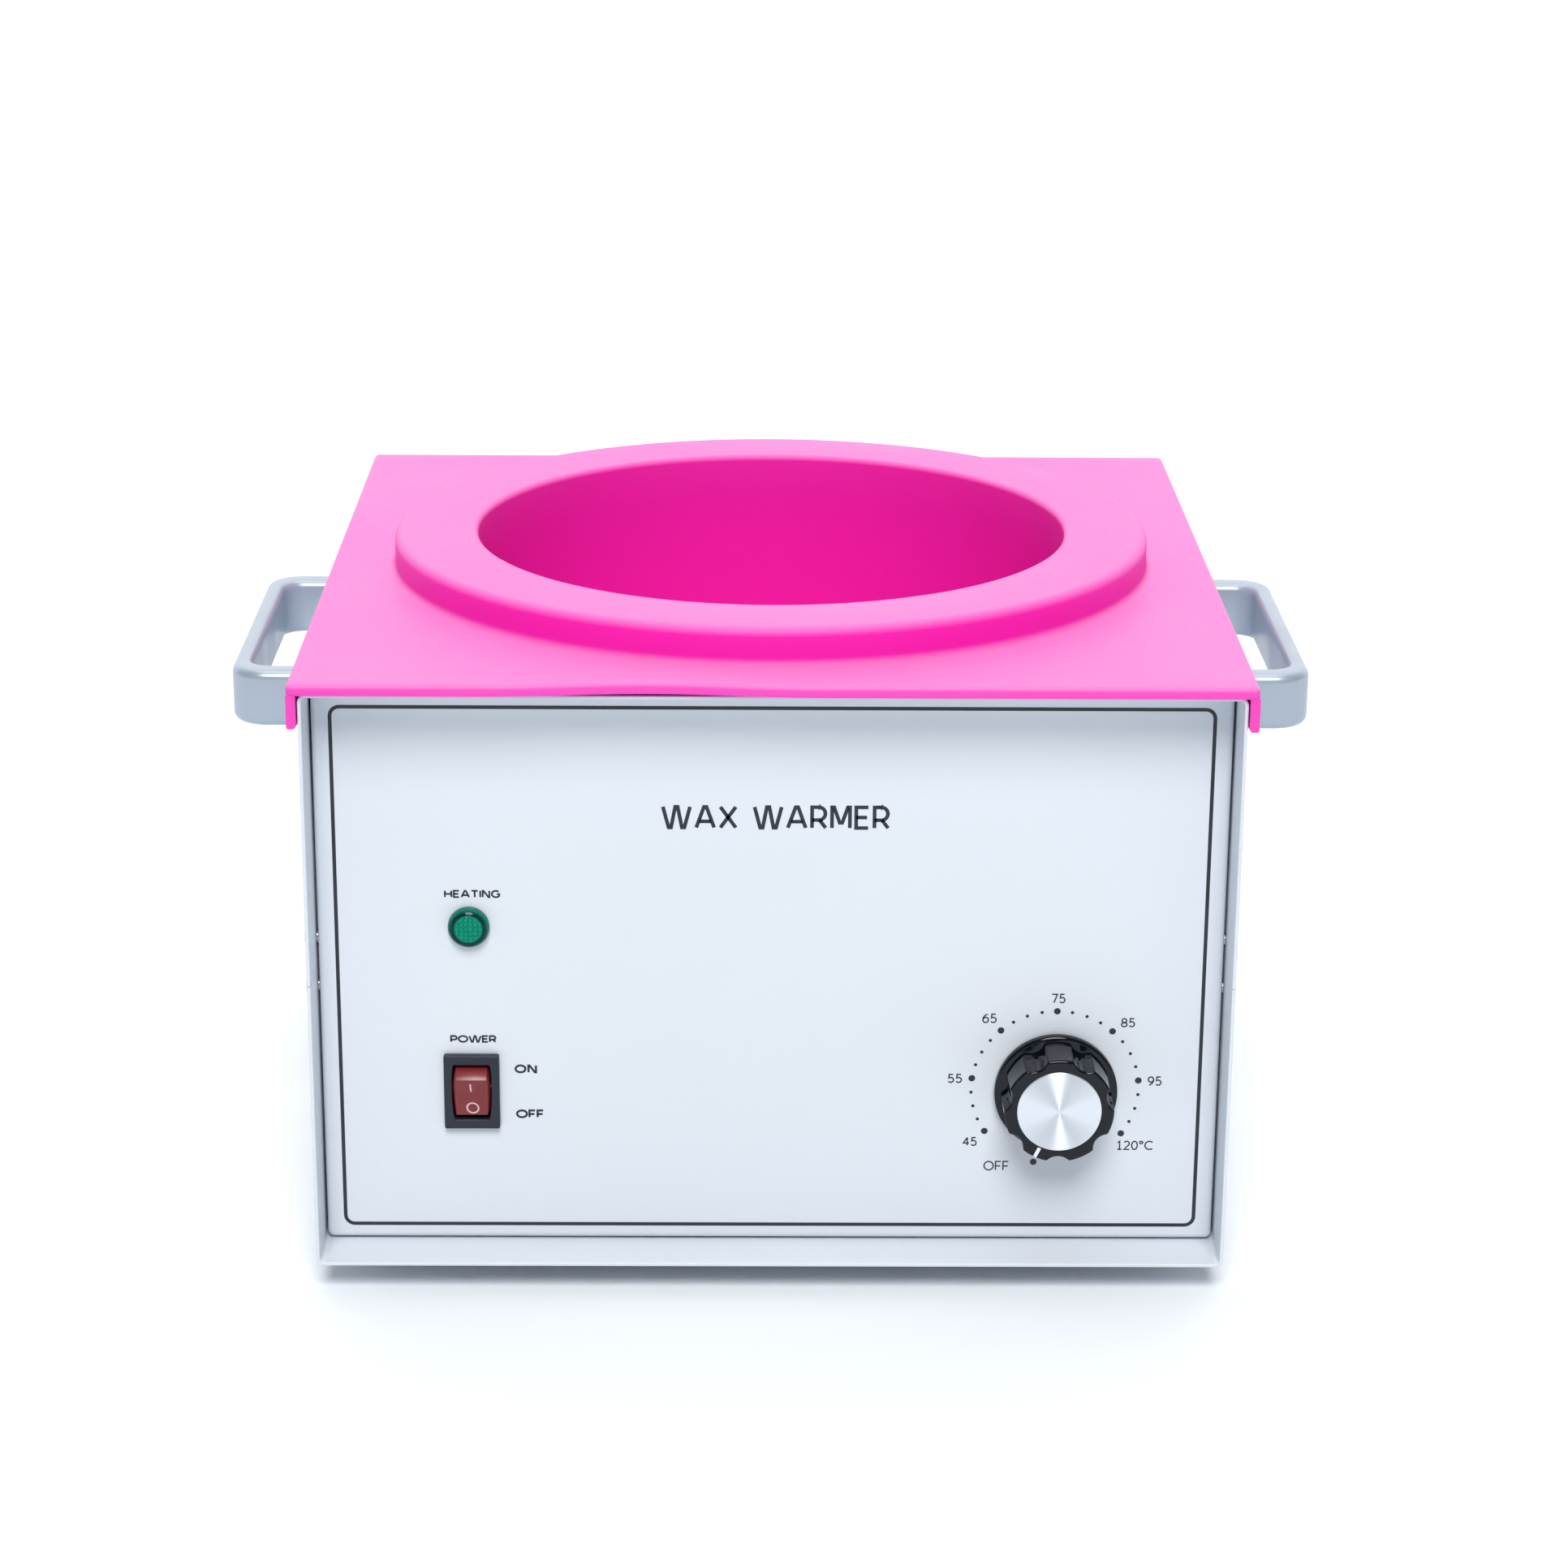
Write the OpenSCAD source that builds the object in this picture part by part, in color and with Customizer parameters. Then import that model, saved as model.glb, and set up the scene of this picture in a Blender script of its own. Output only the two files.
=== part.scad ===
// Electric wax warmer pot: a sheet-metal box with side handles, an aluminium heating well,
// a lift-out silicone liner, a power rocker, a pilot lamp and a thermostat knob.
// Millimetres. +Z is up, the front faces -Y, and +X is to the right as seen from the front.
// The origin is under the middle of the casing, on the surface that the feet stand on.

/* [Casing] */
// Outside width of the casing
case_w = 246; // [242:1:256]
// Outside depth of the casing
case_d = 250; // [248:1:260]
// Outside height of the casing, without its feet
case_h = 162; // [158:1:176]
// Thickness of the sheet metal
sheet_t = 1; // [0.8:0.1:1.2]
// Outside radius of the sheet's bends
bend_r = 2.2; // [2:0.1:3]
// How far the front and rear panels are set back from the casing's rims
panel_setback = 14.8; // [12:0.2:16]
// Gap around the edges of the front and rear panels
panel_gap = 0.6; // [0.4:0.1:1]
// Height of the rubber feet
foot_h = 8; // [6:1:12]

/* [Silicone liner] */
// Thickness of the liner's flat plate
plate_t = 3; // [2.5:0.1:4]
// Height of the raised ring above the plate
ring_h = 10.3; // [8:0.1:14]
// Outer radius of the raised ring
ring_r = 107.8; // [107:0.1:110]
// Inner radius of the ring and of the bowl's mouth
bowl_r = 84; // [80:0.5:84]
// Height of the side flaps below the plate's top
flap_h = 12; // [8:0.5:13]

/* [Heating well] */
// Inner radius of the aluminium well
well_r = 87.6; // [87.6:0.1:88]
// Depth of the well below the casing's top
well_depth = 121; // [90:1:125]

/* [Handles] */
// How far a handle stands out from the casing's side
handle_reach = 27.7; // [24:0.1:34]
// Overall width of a handle
handle_w = 102.4; // [90:0.2:120]
// Height of a handle's section
handle_h = 16; // [12:0.5:20]

/* [Controls] */
// Place of the thermostat dial, across and up from the casing's bottom
dial_x = 77.2; // [70:0.2:80]
dial_z = 46; // [40:0.5:56]
// Place of the switch and the lamp, across
switch_x = -80.95; // [-85:0.05:-75]
// Height of the switch's centre above the casing's bottom
switch_z = 45.5; // [40:0.1:55]
// Height of the lamp's centre above the casing's bottom
lamp_z = 92.9; // [85:0.1:100]
// Radius of the knob's skirt
knob_r = 16.7; // [16:0.05:18]
// Distance from the panel to the knob's front
knob_h = 15.2; // [14:0.1:18]
// Number of finger scallops around the knob
knob_scallops = 7; // [6:1:9]

/* [Hidden] */
$fn = 72;

// Heights and planes shared by many sub-parts
base_z = foot_h;
top_z = base_z + case_h;
seam_z = base_z + case_h / 2;
seam_gap = 0.2;
floor_z = base_z + sheet_t;
front_y = -case_d / 2;
panel_y = front_y + panel_setback;
panel_in_y = panel_y + sheet_t;
side_x = case_w / 2;
inner_x = side_x - sheet_t;

// Panels
panel_w = case_w - 2 * sheet_t - 2 * panel_gap;
panel_z0 = floor_z + panel_gap;
panel_h = case_h - 2 * sheet_t - 2 * panel_gap;
panel_corner_r = 1.6;
flange_d = 15;
short_flange_d = 8;

// How far a cut runs past the solid it cuts
cut = 1;

// Screws: shank radius, shank length, head radius, head height
CASING_SCREW = [1.83, 7, 3.6, 2.7];
FOOT_SCREW = [2, 9, 3.8, 2.4];
HANDLE_SCREW = [1.68, 13, 3.8, 2.4];
WELL_SCREW = [1.5, 8, 2.8, 1.7];
CLAMP_SCREW = [1.5, 18, 2.6, 1.8];
SHIELD_SCREW = [1.5, 8, 2.8, 1.8];
INLET_SCREW = [1.5, 9, 2.8, 1.8];
casing_hole_r = 2;
thread_clear = 0.02;
small_flats = 5.5;
large_flats = 7;
large_nut_h = 3;

// Screws that join the casing's halves to the panels, above and below the seam
casing_screw_y = front_y + 20;
casing_screw_dz = 6.9;
screw_clear = 0.15;
nut_h = 2.4;

// Feet
foot_r = 9;
foot_x = side_x - 30;
foot_y = case_d / 2 - 38;
foot_hole_r = 2.2;
foot_recess_r = 4.6;
foot_recess_h = 4;

// Handles
handle_z = base_z + 129.7;
handle_arm_t = 8.2;
handle_grip_t = 5.3;
handle_out_r = 10;
handle_in_r = 6;
handle_edge_r = 2.3;
handle_screw_y = handle_w / 2 - handle_arm_t / 2;
handle_hole_r = 1.7;
handle_hole_depth = 14;

// Well, gasket and flange
gasket_t = 0.8;
well_t = 1.5;
flange_r = 105.6;
well_top_z = top_z + gasket_t + well_t;
well_floor_z = top_z - well_depth;
cover_hole_r = 98.5;
well_screw_r = 102;
well_screw_shank_r = 1.5;
well_bottom_z = well_floor_z - well_t;

// Silicone liner
liner_wall = 3;
liner_side = 125.8;
liner_front = case_d / 2 + 1.35;
flap_t = 2.5;
ring_top_z = top_z + plate_t + ring_h;
recess_r = 106.1;
recess_h = 5;
bowl_floor_z = well_floor_z + 1 + liner_wall;
bowl_bottom_r = 81;
bowl_corner_r = 18;

// Heater, insulation and shield
heater_r = well_r + well_t + 0.05;
heater_t = 2.2;
heater_z0 = 74;
heater_z1 = 132;
heater_gap = 10;
heater_post_x = 12;
heater_post_z = 88;
heater_post_end = 98;
heater_post_r = 1.8;
lug_t = 1.2;
lug_out = 9;
lug_h = 14;
lug_z = 103;
lug_hole_x = heater_r + 6;
jacket_r0 = 92.4;
jacket_r1 = 96.6;
jacket_z1 = 150;
shield_r = 98;
shield_t = 0.7;
shield_z0 = floor_z + 25;
shield_z1 = 156;
jacket_slot_w = 34;
pad_z0 = shield_z0 + shield_t;
pad_t = 4;
pad_r = 88;
pad_hole_r = 3.4;
shield_hole_r = 1.7;
shield_slot_z = [80, 124];
shield_grommet_r = 3;
standoff_r = 4;
standoff_pitch = 64;

// Bulb under the well
bulb_r = 3;
bulb_y = -18;
bulb_z = well_bottom_z - bulb_r - 0.02;
bulb_len = 76;
clip_t = 0.8;
clip_w = 16;
clip_wing = 11;

// Thermal cut-out under the well
cutout_y = 24;
cutout_r = 8;
cutout_h = 5;
cutout_tab = [6, 3, 0.8];
cutout_tab_x = 9.5;

// Thermostat
dial_h = base_z + dial_z;
shaft_r = 3;
shaft_clear = 0.05;
bush_r = 5;
bush_out = 4;
thermo_w = 36;
thermo_d = 22;
thermo_h = 42;
thermo_plate_t = 1.2;
shaft_front = 12.2;
shaft_back_y = panel_in_y + 11;
shaft_flat = 1.7;
shaft_flat_l = 6;
bush_flats = 14;
tab_w = 6.2;
tab_l = 8;
tab_t = 0.8;

// Knob
knob_lobe_r = 14.9;
knob_skirt_z0 = 0.8;
knob_skirt_z1 = 3.1;
scallop_r = 4.2;
scallop_at = 17.5;
cap_r = 11.33;
cap_t = 0.6;
pointer_angle = 205.7;
pointer_w = 0.96;
pointer_t = 0.48;
skirt_edge_h = 1.4;
skirt_bevel = 0.9;
knob_hollow_r = 11.6;
knob_hub_r = 6.5;
knob_hollow_h = 10;
set_screw_angle = 102.9;
set_screw_h = 7.5;
set_screw_r = 1.5;
set_screw_l = 7;

// Lamp
lamp_h = base_z + lamp_z;
lamp_r = 5.6;
lamp_out = 3.4;
lamp_tube_r = 4;
lamp_dome_r = 9;
lamp_tube_l = 24;
lamp_bulb_r = 2.6;
lead_r = 0.5;
lead_x = 1.6;

// Switch
switch_h = base_z + switch_z;
bezel_w = 15;
bezel_h = 21.3;
bezel_t = 2;
switch_body_w = 13;
switch_body_h = 19;
switch_body_d = 17;
opening_w = 10;
opening_h = 15.9;
opening_d = 10.5;
pivot_in = 2;
rocker_w = 9.4;
rocker_arc_r = 7.55;
rocker_face = 5;
rocker_back = -3;
rocker_tilt = 12;
rocker_pin_r = 1.2;
rocker_pin_half = 5.9;
terminal_w = 4.8;
terminal_t = 0.8;
terminal_l = 8;
terminal_pitch = 6;

// Inlet on the rear panel
rear_y = -panel_y;
rear_in_y = rear_y - sheet_t;
inlet_x = 66;
inlet_h = base_z + 40;
inlet_body_w = 27;
inlet_body_h = 20;
inlet_body_d = 18;
inlet_flange_w = 50;
inlet_flange_h = 24;
inlet_flange_t = 2.5;
inlet_screw_x = 20;
inlet_cavity_w = 22.6;
inlet_cavity_h = 15.6;
inlet_cavity_d = 15;
inlet_hole_r = 1.65;
pin_w = 2;
pin_h = 4;
pin_l = 23;

// Vents in the base and in the rear panel
base_vent_n = 7;
base_vent_pitch = 9;
base_vent = [3, 24];
rear_vent_n = 9;
rear_vent_pitch = 11;
rear_vent = [4, 34];
rear_vent_x = -30;
rear_vent_z = base_z + 118;

// Terminal block and earth stud
block_x = -68;
block_y = 93;
block_w = 34;
block_d = 14;
block_h = 14;
pole_pitch = 10.5;
pole_h = 8;
pole_bore_r = 2;
pole_screw_r = 1.8;
pole_screw_y = 4;
earth_x = 30;
earth_y = 90;

wire_r = 1.1;
lamp_wire_r = 0.8;
capillary_r = 0.75;

// ---------- helpers ----------

// Extrudes a drawing in the X-Z plane from y0 to y1
module along_y(y0, y1) {
    translate([0, y1, 0]) rotate([90, 0, 0]) linear_extrude(y1 - y0) children();
}

// Extrudes a drawing in the Y-Z plane from x0 to x1
module along_x(x0, x1) {
    translate([x0, 0, 0]) rotate([90, 0, 90]) linear_extrude(x1 - x0) children();
}

// A cylinder along X, between two x values
module rod_x(r, x0, x1) {
    translate([x0, 0, 0]) rotate([0, 90, 0]) cylinder(r = r, h = x1 - x0);
}

// A cylinder along Y, between two y values
module rod_y(r, y0, y1) {
    translate([0, y1, 0]) rotate([90, 0, 0]) cylinder(r = r, h = y1 - y0);
}

module round_rect(w, h, r) {
    square([w - 2 * r, h], center = true);
    square([w, h - 2 * r], center = true);
    for (sx = [-1, 1], sy = [-1, 1])
        translate([sx * (w / 2 - r), sy * (h / 2 - r)]) circle(r);
}

// A flat-bottomed outline with its two upper corners rounded
module arch_outline(w, h, r) {
    translate([-w / 2, 0]) square([w, h - r]);
    translate([-w / 2 + r, 0]) square([w - 2 * r, h]);
    for (s = [-1, 1]) translate([s * (w / 2 - r), h - r]) circle(r);
}

// Sheet bent into a channel, open at the bottom
module channel_profile(w, h, t, r) {
    difference() {
        arch_outline(w, h, r);
        translate([0, -cut]) arch_outline(w - 2 * t, h - t + cut, r - t);
    }
}

module at_corners(x, y) {
    for (sx = [-1, 1], sy = [-1, 1]) translate([sx * x, sy * y, 0]) children();
}

module around(n, first = 0) {
    for (i = [0 : n - 1]) rotate([0, 0, first + i * 360 / n]) children();
}

// Places children with their +Z towards the front, at a point on the front panel
module on_front(x, z) {
    translate([x, panel_y, z]) rotate([90, 0, 0]) children();
}

// Places children with their +Z towards the rear, at a point on the rear panel
module on_rear(x, z) {
    translate([x, rear_y, z]) rotate([-90, 0, 0]) children();
}

// Domed screw: shank down -Z from the origin, head above it
module pan_screw(size) {
    shank_l = size[1];
    head_r = size[2];
    head_h = size[3];
    dome_r = head_r * 1.7;
    recess_w = 0.9;
    recess_l = head_r * 1.1;
    translate([0, 0, -shank_l]) cylinder(r = size[0], h = shank_l + head_h / 4);
    difference() {
        intersection() {
            cylinder(r = head_r, h = head_h);
            translate([0, 0, head_h - dome_r]) sphere(r = dome_r);
        }
        translate([0, 0, head_h]) {
            cube([recess_l, recess_w, 2 * recess_w], center = true);
            cube([recess_w, recess_l, 2 * recess_w], center = true);
        }
    }
}

module hex_nut(flats, hole_r, h) {
    difference() {
        cylinder(r = flats / 2 / cos(30), h = h, $fn = 6);
        translate([0, 0, -cut]) cylinder(r = hole_r, h = h + 2 * cut);
    }
}

// ---------- swept wires ----------

WIRE_SIDES = 8;

function unit(v) = v / norm(v);
function tangent(p, i) =
    unit(p[min(i + 1, len(p) - 1)] - p[max(i - 1, 0)]);
// A direction square to t that stays close to the last one
function carried(t, last) = unit(last - t * (last * t));
function frames(p, i = 0, last = [0.31, 0.17, 0.94]) =
    i == len(p) ? [] : let (n = carried(tangent(p, i), last)) concat([n], frames(p, i + 1, n));
function ring_points(p, n, t, r) =
    [for (k = [0 : WIRE_SIDES - 1])
        let (a = 360 * k / WIRE_SIDES)
        p + r * (cos(a) * n + sin(a) * cross(t, n))];
// Rounds a route of straight legs by cutting its corners
function chaikin(p) =
    concat([p[0]],
        [for (i = [0 : len(p) - 2], f = [0.25, 0.75]) p[i] * (1 - f) + p[i + 1] * f],
        [p[len(p) - 1]]);

module wire(route, r) {
    p = chaikin(route);
    n = frames(p);
    points = [for (i = [0 : len(p) - 1], q = ring_points(p[i], n[i], tangent(p, i), r)) q];
    last = (len(p) - 1) * WIRE_SIDES;
    sides = [for (i = [0 : len(p) - 2], k = [0 : WIRE_SIDES - 1])
        let (a = i * WIRE_SIDES + k, b = i * WIRE_SIDES + (k + 1) % WIRE_SIDES)
        [a, a + WIRE_SIDES, b + WIRE_SIDES, b]];
    first_cap = [for (k = [0 : WIRE_SIDES - 1]) k];
    last_cap = [for (k = [WIRE_SIDES - 1 : -1 : 0]) last + k];
    polyhedron(points, concat([first_cap], sides, [last_cap]));
}

// ---------- casing ----------

module casing_screw_holes(r) {
    for (sz = [-1, 1], sy = [-1, 1])
        translate([0, sy * casing_screw_y, seam_z + sz * casing_screw_dz])
            rod_x(r, -side_x - cut, side_x + cut);
}

module half_shell() {
    along_y(-case_d / 2, case_d / 2)
        channel_profile(case_w, (case_h - seam_gap) / 2, sheet_t, bend_r);
}

module top_cover() {
    color([0.93, 0.95, 0.97])
    difference() {
        translate([0, 0, seam_z + seam_gap / 2]) half_shell();
        translate([0, 0, top_z - 5]) cylinder(r = cover_hole_r, h = 10);
        translate([0, 0, top_z - 5]) around(4, 45) translate([well_screw_r, 0, 0])
            cylinder(r = well_screw_shank_r + screw_clear, h = 10);
        casing_screw_holes(casing_hole_r + screw_clear);
        for (sy = [-1, 1]) translate([0, sy * handle_screw_y, handle_z + handle_h / 2])
            rod_x(casing_hole_r + screw_clear, -side_x - cut, side_x + cut);
    }
}

module base_tray() {
    color([0.93, 0.95, 0.97])
    difference() {
        translate([0, 0, seam_z - seam_gap / 2]) mirror([0, 0, 1]) half_shell();
        casing_screw_holes(casing_hole_r + screw_clear);
        at_corners(foot_x, foot_y) cylinder(r = foot_hole_r, h = floor_z + cut);
        at_corners(standoff_pitch / 2, standoff_pitch / 2) cylinder(r = shield_hole_r, h = floor_z + cut);
        for (i = [0 : base_vent_n - 1])
            translate([(i - (base_vent_n - 1) / 2) * base_vent_pitch, 0, base_z])
                cube([base_vent[0], base_vent[1], 4 * sheet_t], center = true);
    }
}

// A pan with its face towards -Y at y = 0 and its side, top and bottom flanges behind it
module panel_pan() {
    intersection() {
        translate([0, flange_d, panel_z0]) mirror([0, 1, 0])
            linear_extrude(panel_h) channel_profile(panel_w, flange_d, sheet_t, bend_r - 0.4);
        along_y(-1, flange_d + 1) translate([0, panel_z0 + panel_h / 2])
            round_rect(panel_w, panel_h, panel_corner_r);
    }
    for (z = [panel_z0, panel_z0 + panel_h - sheet_t])
        translate([-panel_w / 2 + 6, sheet_t / 2, z])
            cube([panel_w - 12, short_flange_d, sheet_t]);
}

module front_panel() {
    color([0.90, 0.93, 0.97])
    difference() {
        translate([0, panel_y, 0]) panel_pan();
        casing_screw_holes(casing_hole_r - screw_clear);
        on_front(dial_x, dial_h) translate([0, 0, -5]) cylinder(r = bush_r + screw_clear, h = 10);
        on_front(switch_x, lamp_h) translate([0, 0, -5])
            cylinder(r = lamp_tube_r + screw_clear, h = 10);
        translate([switch_x - switch_body_w / 2 - 0.15, panel_y - 5, switch_h - switch_body_h / 2 - 0.15])
            cube([switch_body_w + 0.3, 10, switch_body_h + 0.3]);
    }
}

module rear_panel() {
    color([0.90, 0.93, 0.97])
    difference() {
        rotate([0, 0, 180]) translate([0, panel_y, 0]) panel_pan();
        casing_screw_holes(casing_hole_r - screw_clear);
        translate([inlet_x - inlet_body_w / 2 - 0.2, rear_y - 5, inlet_h - inlet_body_h / 2 - 0.2])
            cube([inlet_body_w + 0.4, 10, inlet_body_h + 0.4]);
        for (s = [-1, 1]) translate([inlet_x + s * inlet_screw_x, 0, inlet_h])
            rod_y(inlet_hole_r, rear_in_y - cut, rear_y + cut);
        for (i = [0 : rear_vent_n - 1]) along_y(rear_in_y - cut, rear_y + cut)
            translate([(i - (rear_vent_n - 1) / 2) * rear_vent_pitch + rear_vent_x, rear_vent_z])
                round_rect(rear_vent[0], rear_vent[1], rear_vent[0] / 2 - 0.1);
    }
}

module casing_screws() {
    color([0.80, 0.82, 0.84])
    for (sz = [-1, 1], sy = [-1, 1], sx = [-1, 1])
        translate([sx * side_x, sy * casing_screw_y, seam_z + sz * casing_screw_dz])
            rotate([0, sx * 90, 0]) pan_screw(CASING_SCREW);
}

module foot(sx, sy) {
    color([0.10, 0.10, 0.11])
    translate([sx * foot_x, sy * foot_y, 0])
    difference() {
        union() {
            cylinder(r1 = foot_r - 1.6, r2 = foot_r - 0.8, h = 1);
            translate([0, 0, 1]) cylinder(r1 = foot_r - 0.8, r2 = foot_r, h = foot_h - 1);
        }
        translate([0, 0, -1]) cylinder(r = foot_recess_r, h = foot_recess_h + 1);
        translate([0, 0, -1]) cylinder(r = foot_hole_r, h = foot_h + 2);
    }
}

module foot_front_left() { foot(-1, -1); }
module foot_front_right() { foot(1, -1); }
module foot_rear_left() { foot(-1, 1); }
module foot_rear_right() { foot(1, 1); }

module foot_screws() {
    color([0.72, 0.73, 0.75])
    at_corners(foot_x, foot_y) {
        translate([0, 0, foot_recess_h]) mirror([0, 0, 1]) pan_screw(FOOT_SCREW);
        translate([0, 0, floor_z]) hex_nut(large_flats, FOOT_SCREW[0] + thread_clear, large_nut_h);
    }
}

// ---------- handles ----------

// Plan of the right-hand handle, from the casing's side outwards
module handle_plan() {
    out_x = handle_reach;
    difference() {
        union() {
            translate([0, -handle_w / 2]) square([out_x - handle_out_r, handle_w]);
            translate([0, -handle_w / 2 + handle_out_r]) square([out_x, handle_w - 2 * handle_out_r]);
            for (s = [-1, 1]) translate([out_x - handle_out_r, s * (handle_w / 2 - handle_out_r)])
                circle(handle_out_r);
        }
        handle_window();
    }
}

module handle_window() {
    in_x = handle_reach - handle_grip_t;
    in_w = handle_w - 2 * handle_arm_t;
    translate([-1, -in_w / 2]) square([in_x - handle_in_r + 1, in_w]);
    translate([-1, -in_w / 2 + handle_in_r]) square([in_x + 1, in_w - 2 * handle_in_r]);
    for (s = [-1, 1]) translate([in_x - handle_in_r, s * (in_w / 2 - handle_in_r)])
        circle(handle_in_r);
}

module handle() {
    difference() {
        intersection() {
            translate([side_x, 0, handle_z]) linear_extrude(handle_h) handle_plan();
            along_y(-handle_w, handle_w) translate([side_x, handle_z + handle_h / 2])
                round_rect(2 * handle_reach, handle_h, handle_edge_r);
            along_x(side_x, side_x + 2 * handle_reach) translate([0, handle_z + handle_h / 2])
                round_rect(handle_w, handle_h, handle_edge_r);
        }
        for (s = [-1, 1]) translate([0, s * handle_screw_y, handle_z + handle_h / 2])
            rod_x(handle_hole_r, side_x - 1, side_x + handle_hole_depth);
    }
}

module handle_right() {
    color([0.76, 0.79, 0.83]) handle();
}

module handle_left() {
    color([0.76, 0.79, 0.83]) mirror([1, 0, 0]) handle();
}

module handle_screws() {
    color([0.72, 0.73, 0.75])
    for (sx = [-1, 1], sy = [-1, 1])
        translate([sx * (inner_x - 0.8), sy * handle_screw_y, handle_z + handle_h / 2])
            rotate([0, -sx * 90, 0]) pan_screw(HANDLE_SCREW);
}

module handle_washers() {
    color([0.78, 0.79, 0.80])
    for (sx = [-1, 1], sy = [-1, 1])
        translate([sx * (inner_x - 0.4), sy * handle_screw_y, handle_z + handle_h / 2])
            rotate([0, 90, 0]) difference() {
                cylinder(r = 4.8, h = 0.8, center = true);
                cylinder(r = handle_hole_r + 0.02, h = 3, center = true);
            }
}

// ---------- liner and well ----------

function arc_points(cx, cz, r, a0, a1, n) =
    [for (i = [0 : n]) let (a = a0 + (a1 - a0) * i / n) [cx + r * cos(a), cz + r * sin(a)]];

module silicone_liner() {
    wall_out_top = well_r - 0.6;
    wall_out_bottom = bowl_bottom_r + liner_wall;
    out_corner = bowl_corner_r + liner_wall;
    color([1.0, 0.33, 0.80])
    difference() {
        union() {
            translate([-liner_side, -liner_front, top_z])
                cube([2 * liner_side, 2 * liner_front, plate_t]);
            for (s = [-1, 1]) translate([s * (liner_side - flap_t / 2), 0, top_z + plate_t - flap_h / 2])
                cube([flap_t, 2 * liner_front, flap_h], center = true);
            rotate_extrude() polygon(concat(
                [[0, bowl_floor_z - liner_wall]],
                arc_points(wall_out_bottom - out_corner, bowl_floor_z - liner_wall + out_corner,
                    out_corner, -90, 0, 6),
                [[wall_out_top, top_z], [ring_r, top_z]],
                arc_points(ring_r - 2.5, ring_top_z - 2.5, 2.5, 0, 90, 3),
                [[0, ring_top_z]]));
        }
        rotate_extrude() polygon(concat(
            [[0, bowl_floor_z]],
            arc_points(bowl_bottom_r - bowl_corner_r, bowl_floor_z + bowl_corner_r,
                bowl_corner_r, -90, 0, 6),
            arc_points(bowl_r + 1.5, ring_top_z - 1.5, 1.5, 180, 90, 3),
            [[bowl_r + 1.5, ring_top_z + 5], [0, ring_top_z + 5]]));
        translate([0, 0, top_z - 1]) difference() {
            cylinder(r = recess_r, h = recess_h + 1);
            translate([0, 0, -1]) cylinder(r = wall_out_top, h = recess_h + 3);
        }
    }
}

module heating_well() {
    color([0.80, 0.81, 0.83])
    difference() {
        union() {
            translate([0, 0, well_bottom_z]) cylinder(r = well_r + well_t, h = well_top_z - well_bottom_z);
            translate([0, 0, well_top_z - well_t]) cylinder(r = flange_r, h = well_t);
        }
        translate([0, 0, well_floor_z]) cylinder(r = well_r, h = well_top_z);
        translate([0, 0, top_z]) around(4, 45) translate([well_screw_r, 0, 0])
            cylinder(r = well_screw_shank_r + screw_clear, h = 10);
    }
}

module well_gasket() {
    color([0.85, 0.84, 0.80])
    translate([0, 0, top_z])
    difference() {
        cylinder(r = flange_r - 0.3, h = gasket_t);
        translate([0, 0, -1]) cylinder(r = cover_hole_r, h = gasket_t + 2);
        around(4, 45) translate([well_screw_r, 0, -1])
            cylinder(r = well_screw_shank_r + screw_clear, h = gasket_t + 2);
    }
}

module well_screws() {
    color([0.78, 0.79, 0.80])
    around(4, 45) translate([well_screw_r, 0, 0]) {
        translate([0, 0, well_top_z]) pan_screw(WELL_SCREW);
        translate([0, 0, top_z - sheet_t - nut_h - 0.02]) hex_nut(small_flats, well_screw_shank_r + thread_clear, nut_h);
    }
}

// ---------- heater, insulation and shield ----------

// Turns a drawing whose +X is outwards so that it faces the rear
module at_rear() {
    rotate([0, 0, 90]) children();
}

module band_heater() {
    color([0.70, 0.68, 0.62])
    at_rear() {
        difference() {
            translate([0, 0, heater_z0]) cylinder(r = heater_r + heater_t, h = heater_z1 - heater_z0);
            translate([0, 0, heater_z0 - 1]) cylinder(r = heater_r, h = heater_z1);
            translate([0, -heater_gap / 2, heater_z0 - 1]) cube([200, heater_gap, heater_z1]);
        }
        for (s = [-1, 1]) difference() {
            translate([heater_r + 0.3, s * (heater_gap + lug_t) / 2 - lug_t / 2, lug_z - lug_h / 2])
                cube([lug_out, lug_t, lug_h]);
            translate([lug_hole_x, 0, lug_z])
                rod_y(CLAMP_SCREW[0] + screw_clear, -heater_gap, heater_gap);
        }
        for (s = [-1, 1]) translate([0, s * heater_post_x, heater_post_z])
            rod_x(heater_post_r, heater_r + 0.3, heater_post_end);
    }
}

module heater_clamp_screw() {
    color([0.78, 0.79, 0.80])
    at_rear() translate([lug_hole_x, heater_gap / 2 + lug_t, lug_z]) rotate([-90, 0, 0]) {
        pan_screw(CLAMP_SCREW);
        translate([0, 0, -heater_gap - 2 * lug_t - nut_h]) hex_nut(small_flats, CLAMP_SCREW[0] + thread_clear, nut_h);
    }
}

module insulation_jacket() {
    color([0.90, 0.88, 0.80])
    difference() {
        translate([0, 0, well_bottom_z]) cylinder(r = jacket_r1, h = jacket_z1 - well_bottom_z);
        translate([0, 0, well_bottom_z - 1]) cylinder(r = jacket_r0, h = 150);
        at_rear() translate([0, -jacket_slot_w / 2, well_bottom_z - 1])
            cube([200, jacket_slot_w, 200]);
    }
}

module insulation_pad() {
    color([0.90, 0.88, 0.80])
    difference() {
        translate([0, 0, pad_z0]) cylinder(r = pad_r, h = pad_t);
        at_corners(standoff_pitch / 2, standoff_pitch / 2) cylinder(r = pad_hole_r, h = well_bottom_z);
    }
}

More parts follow.
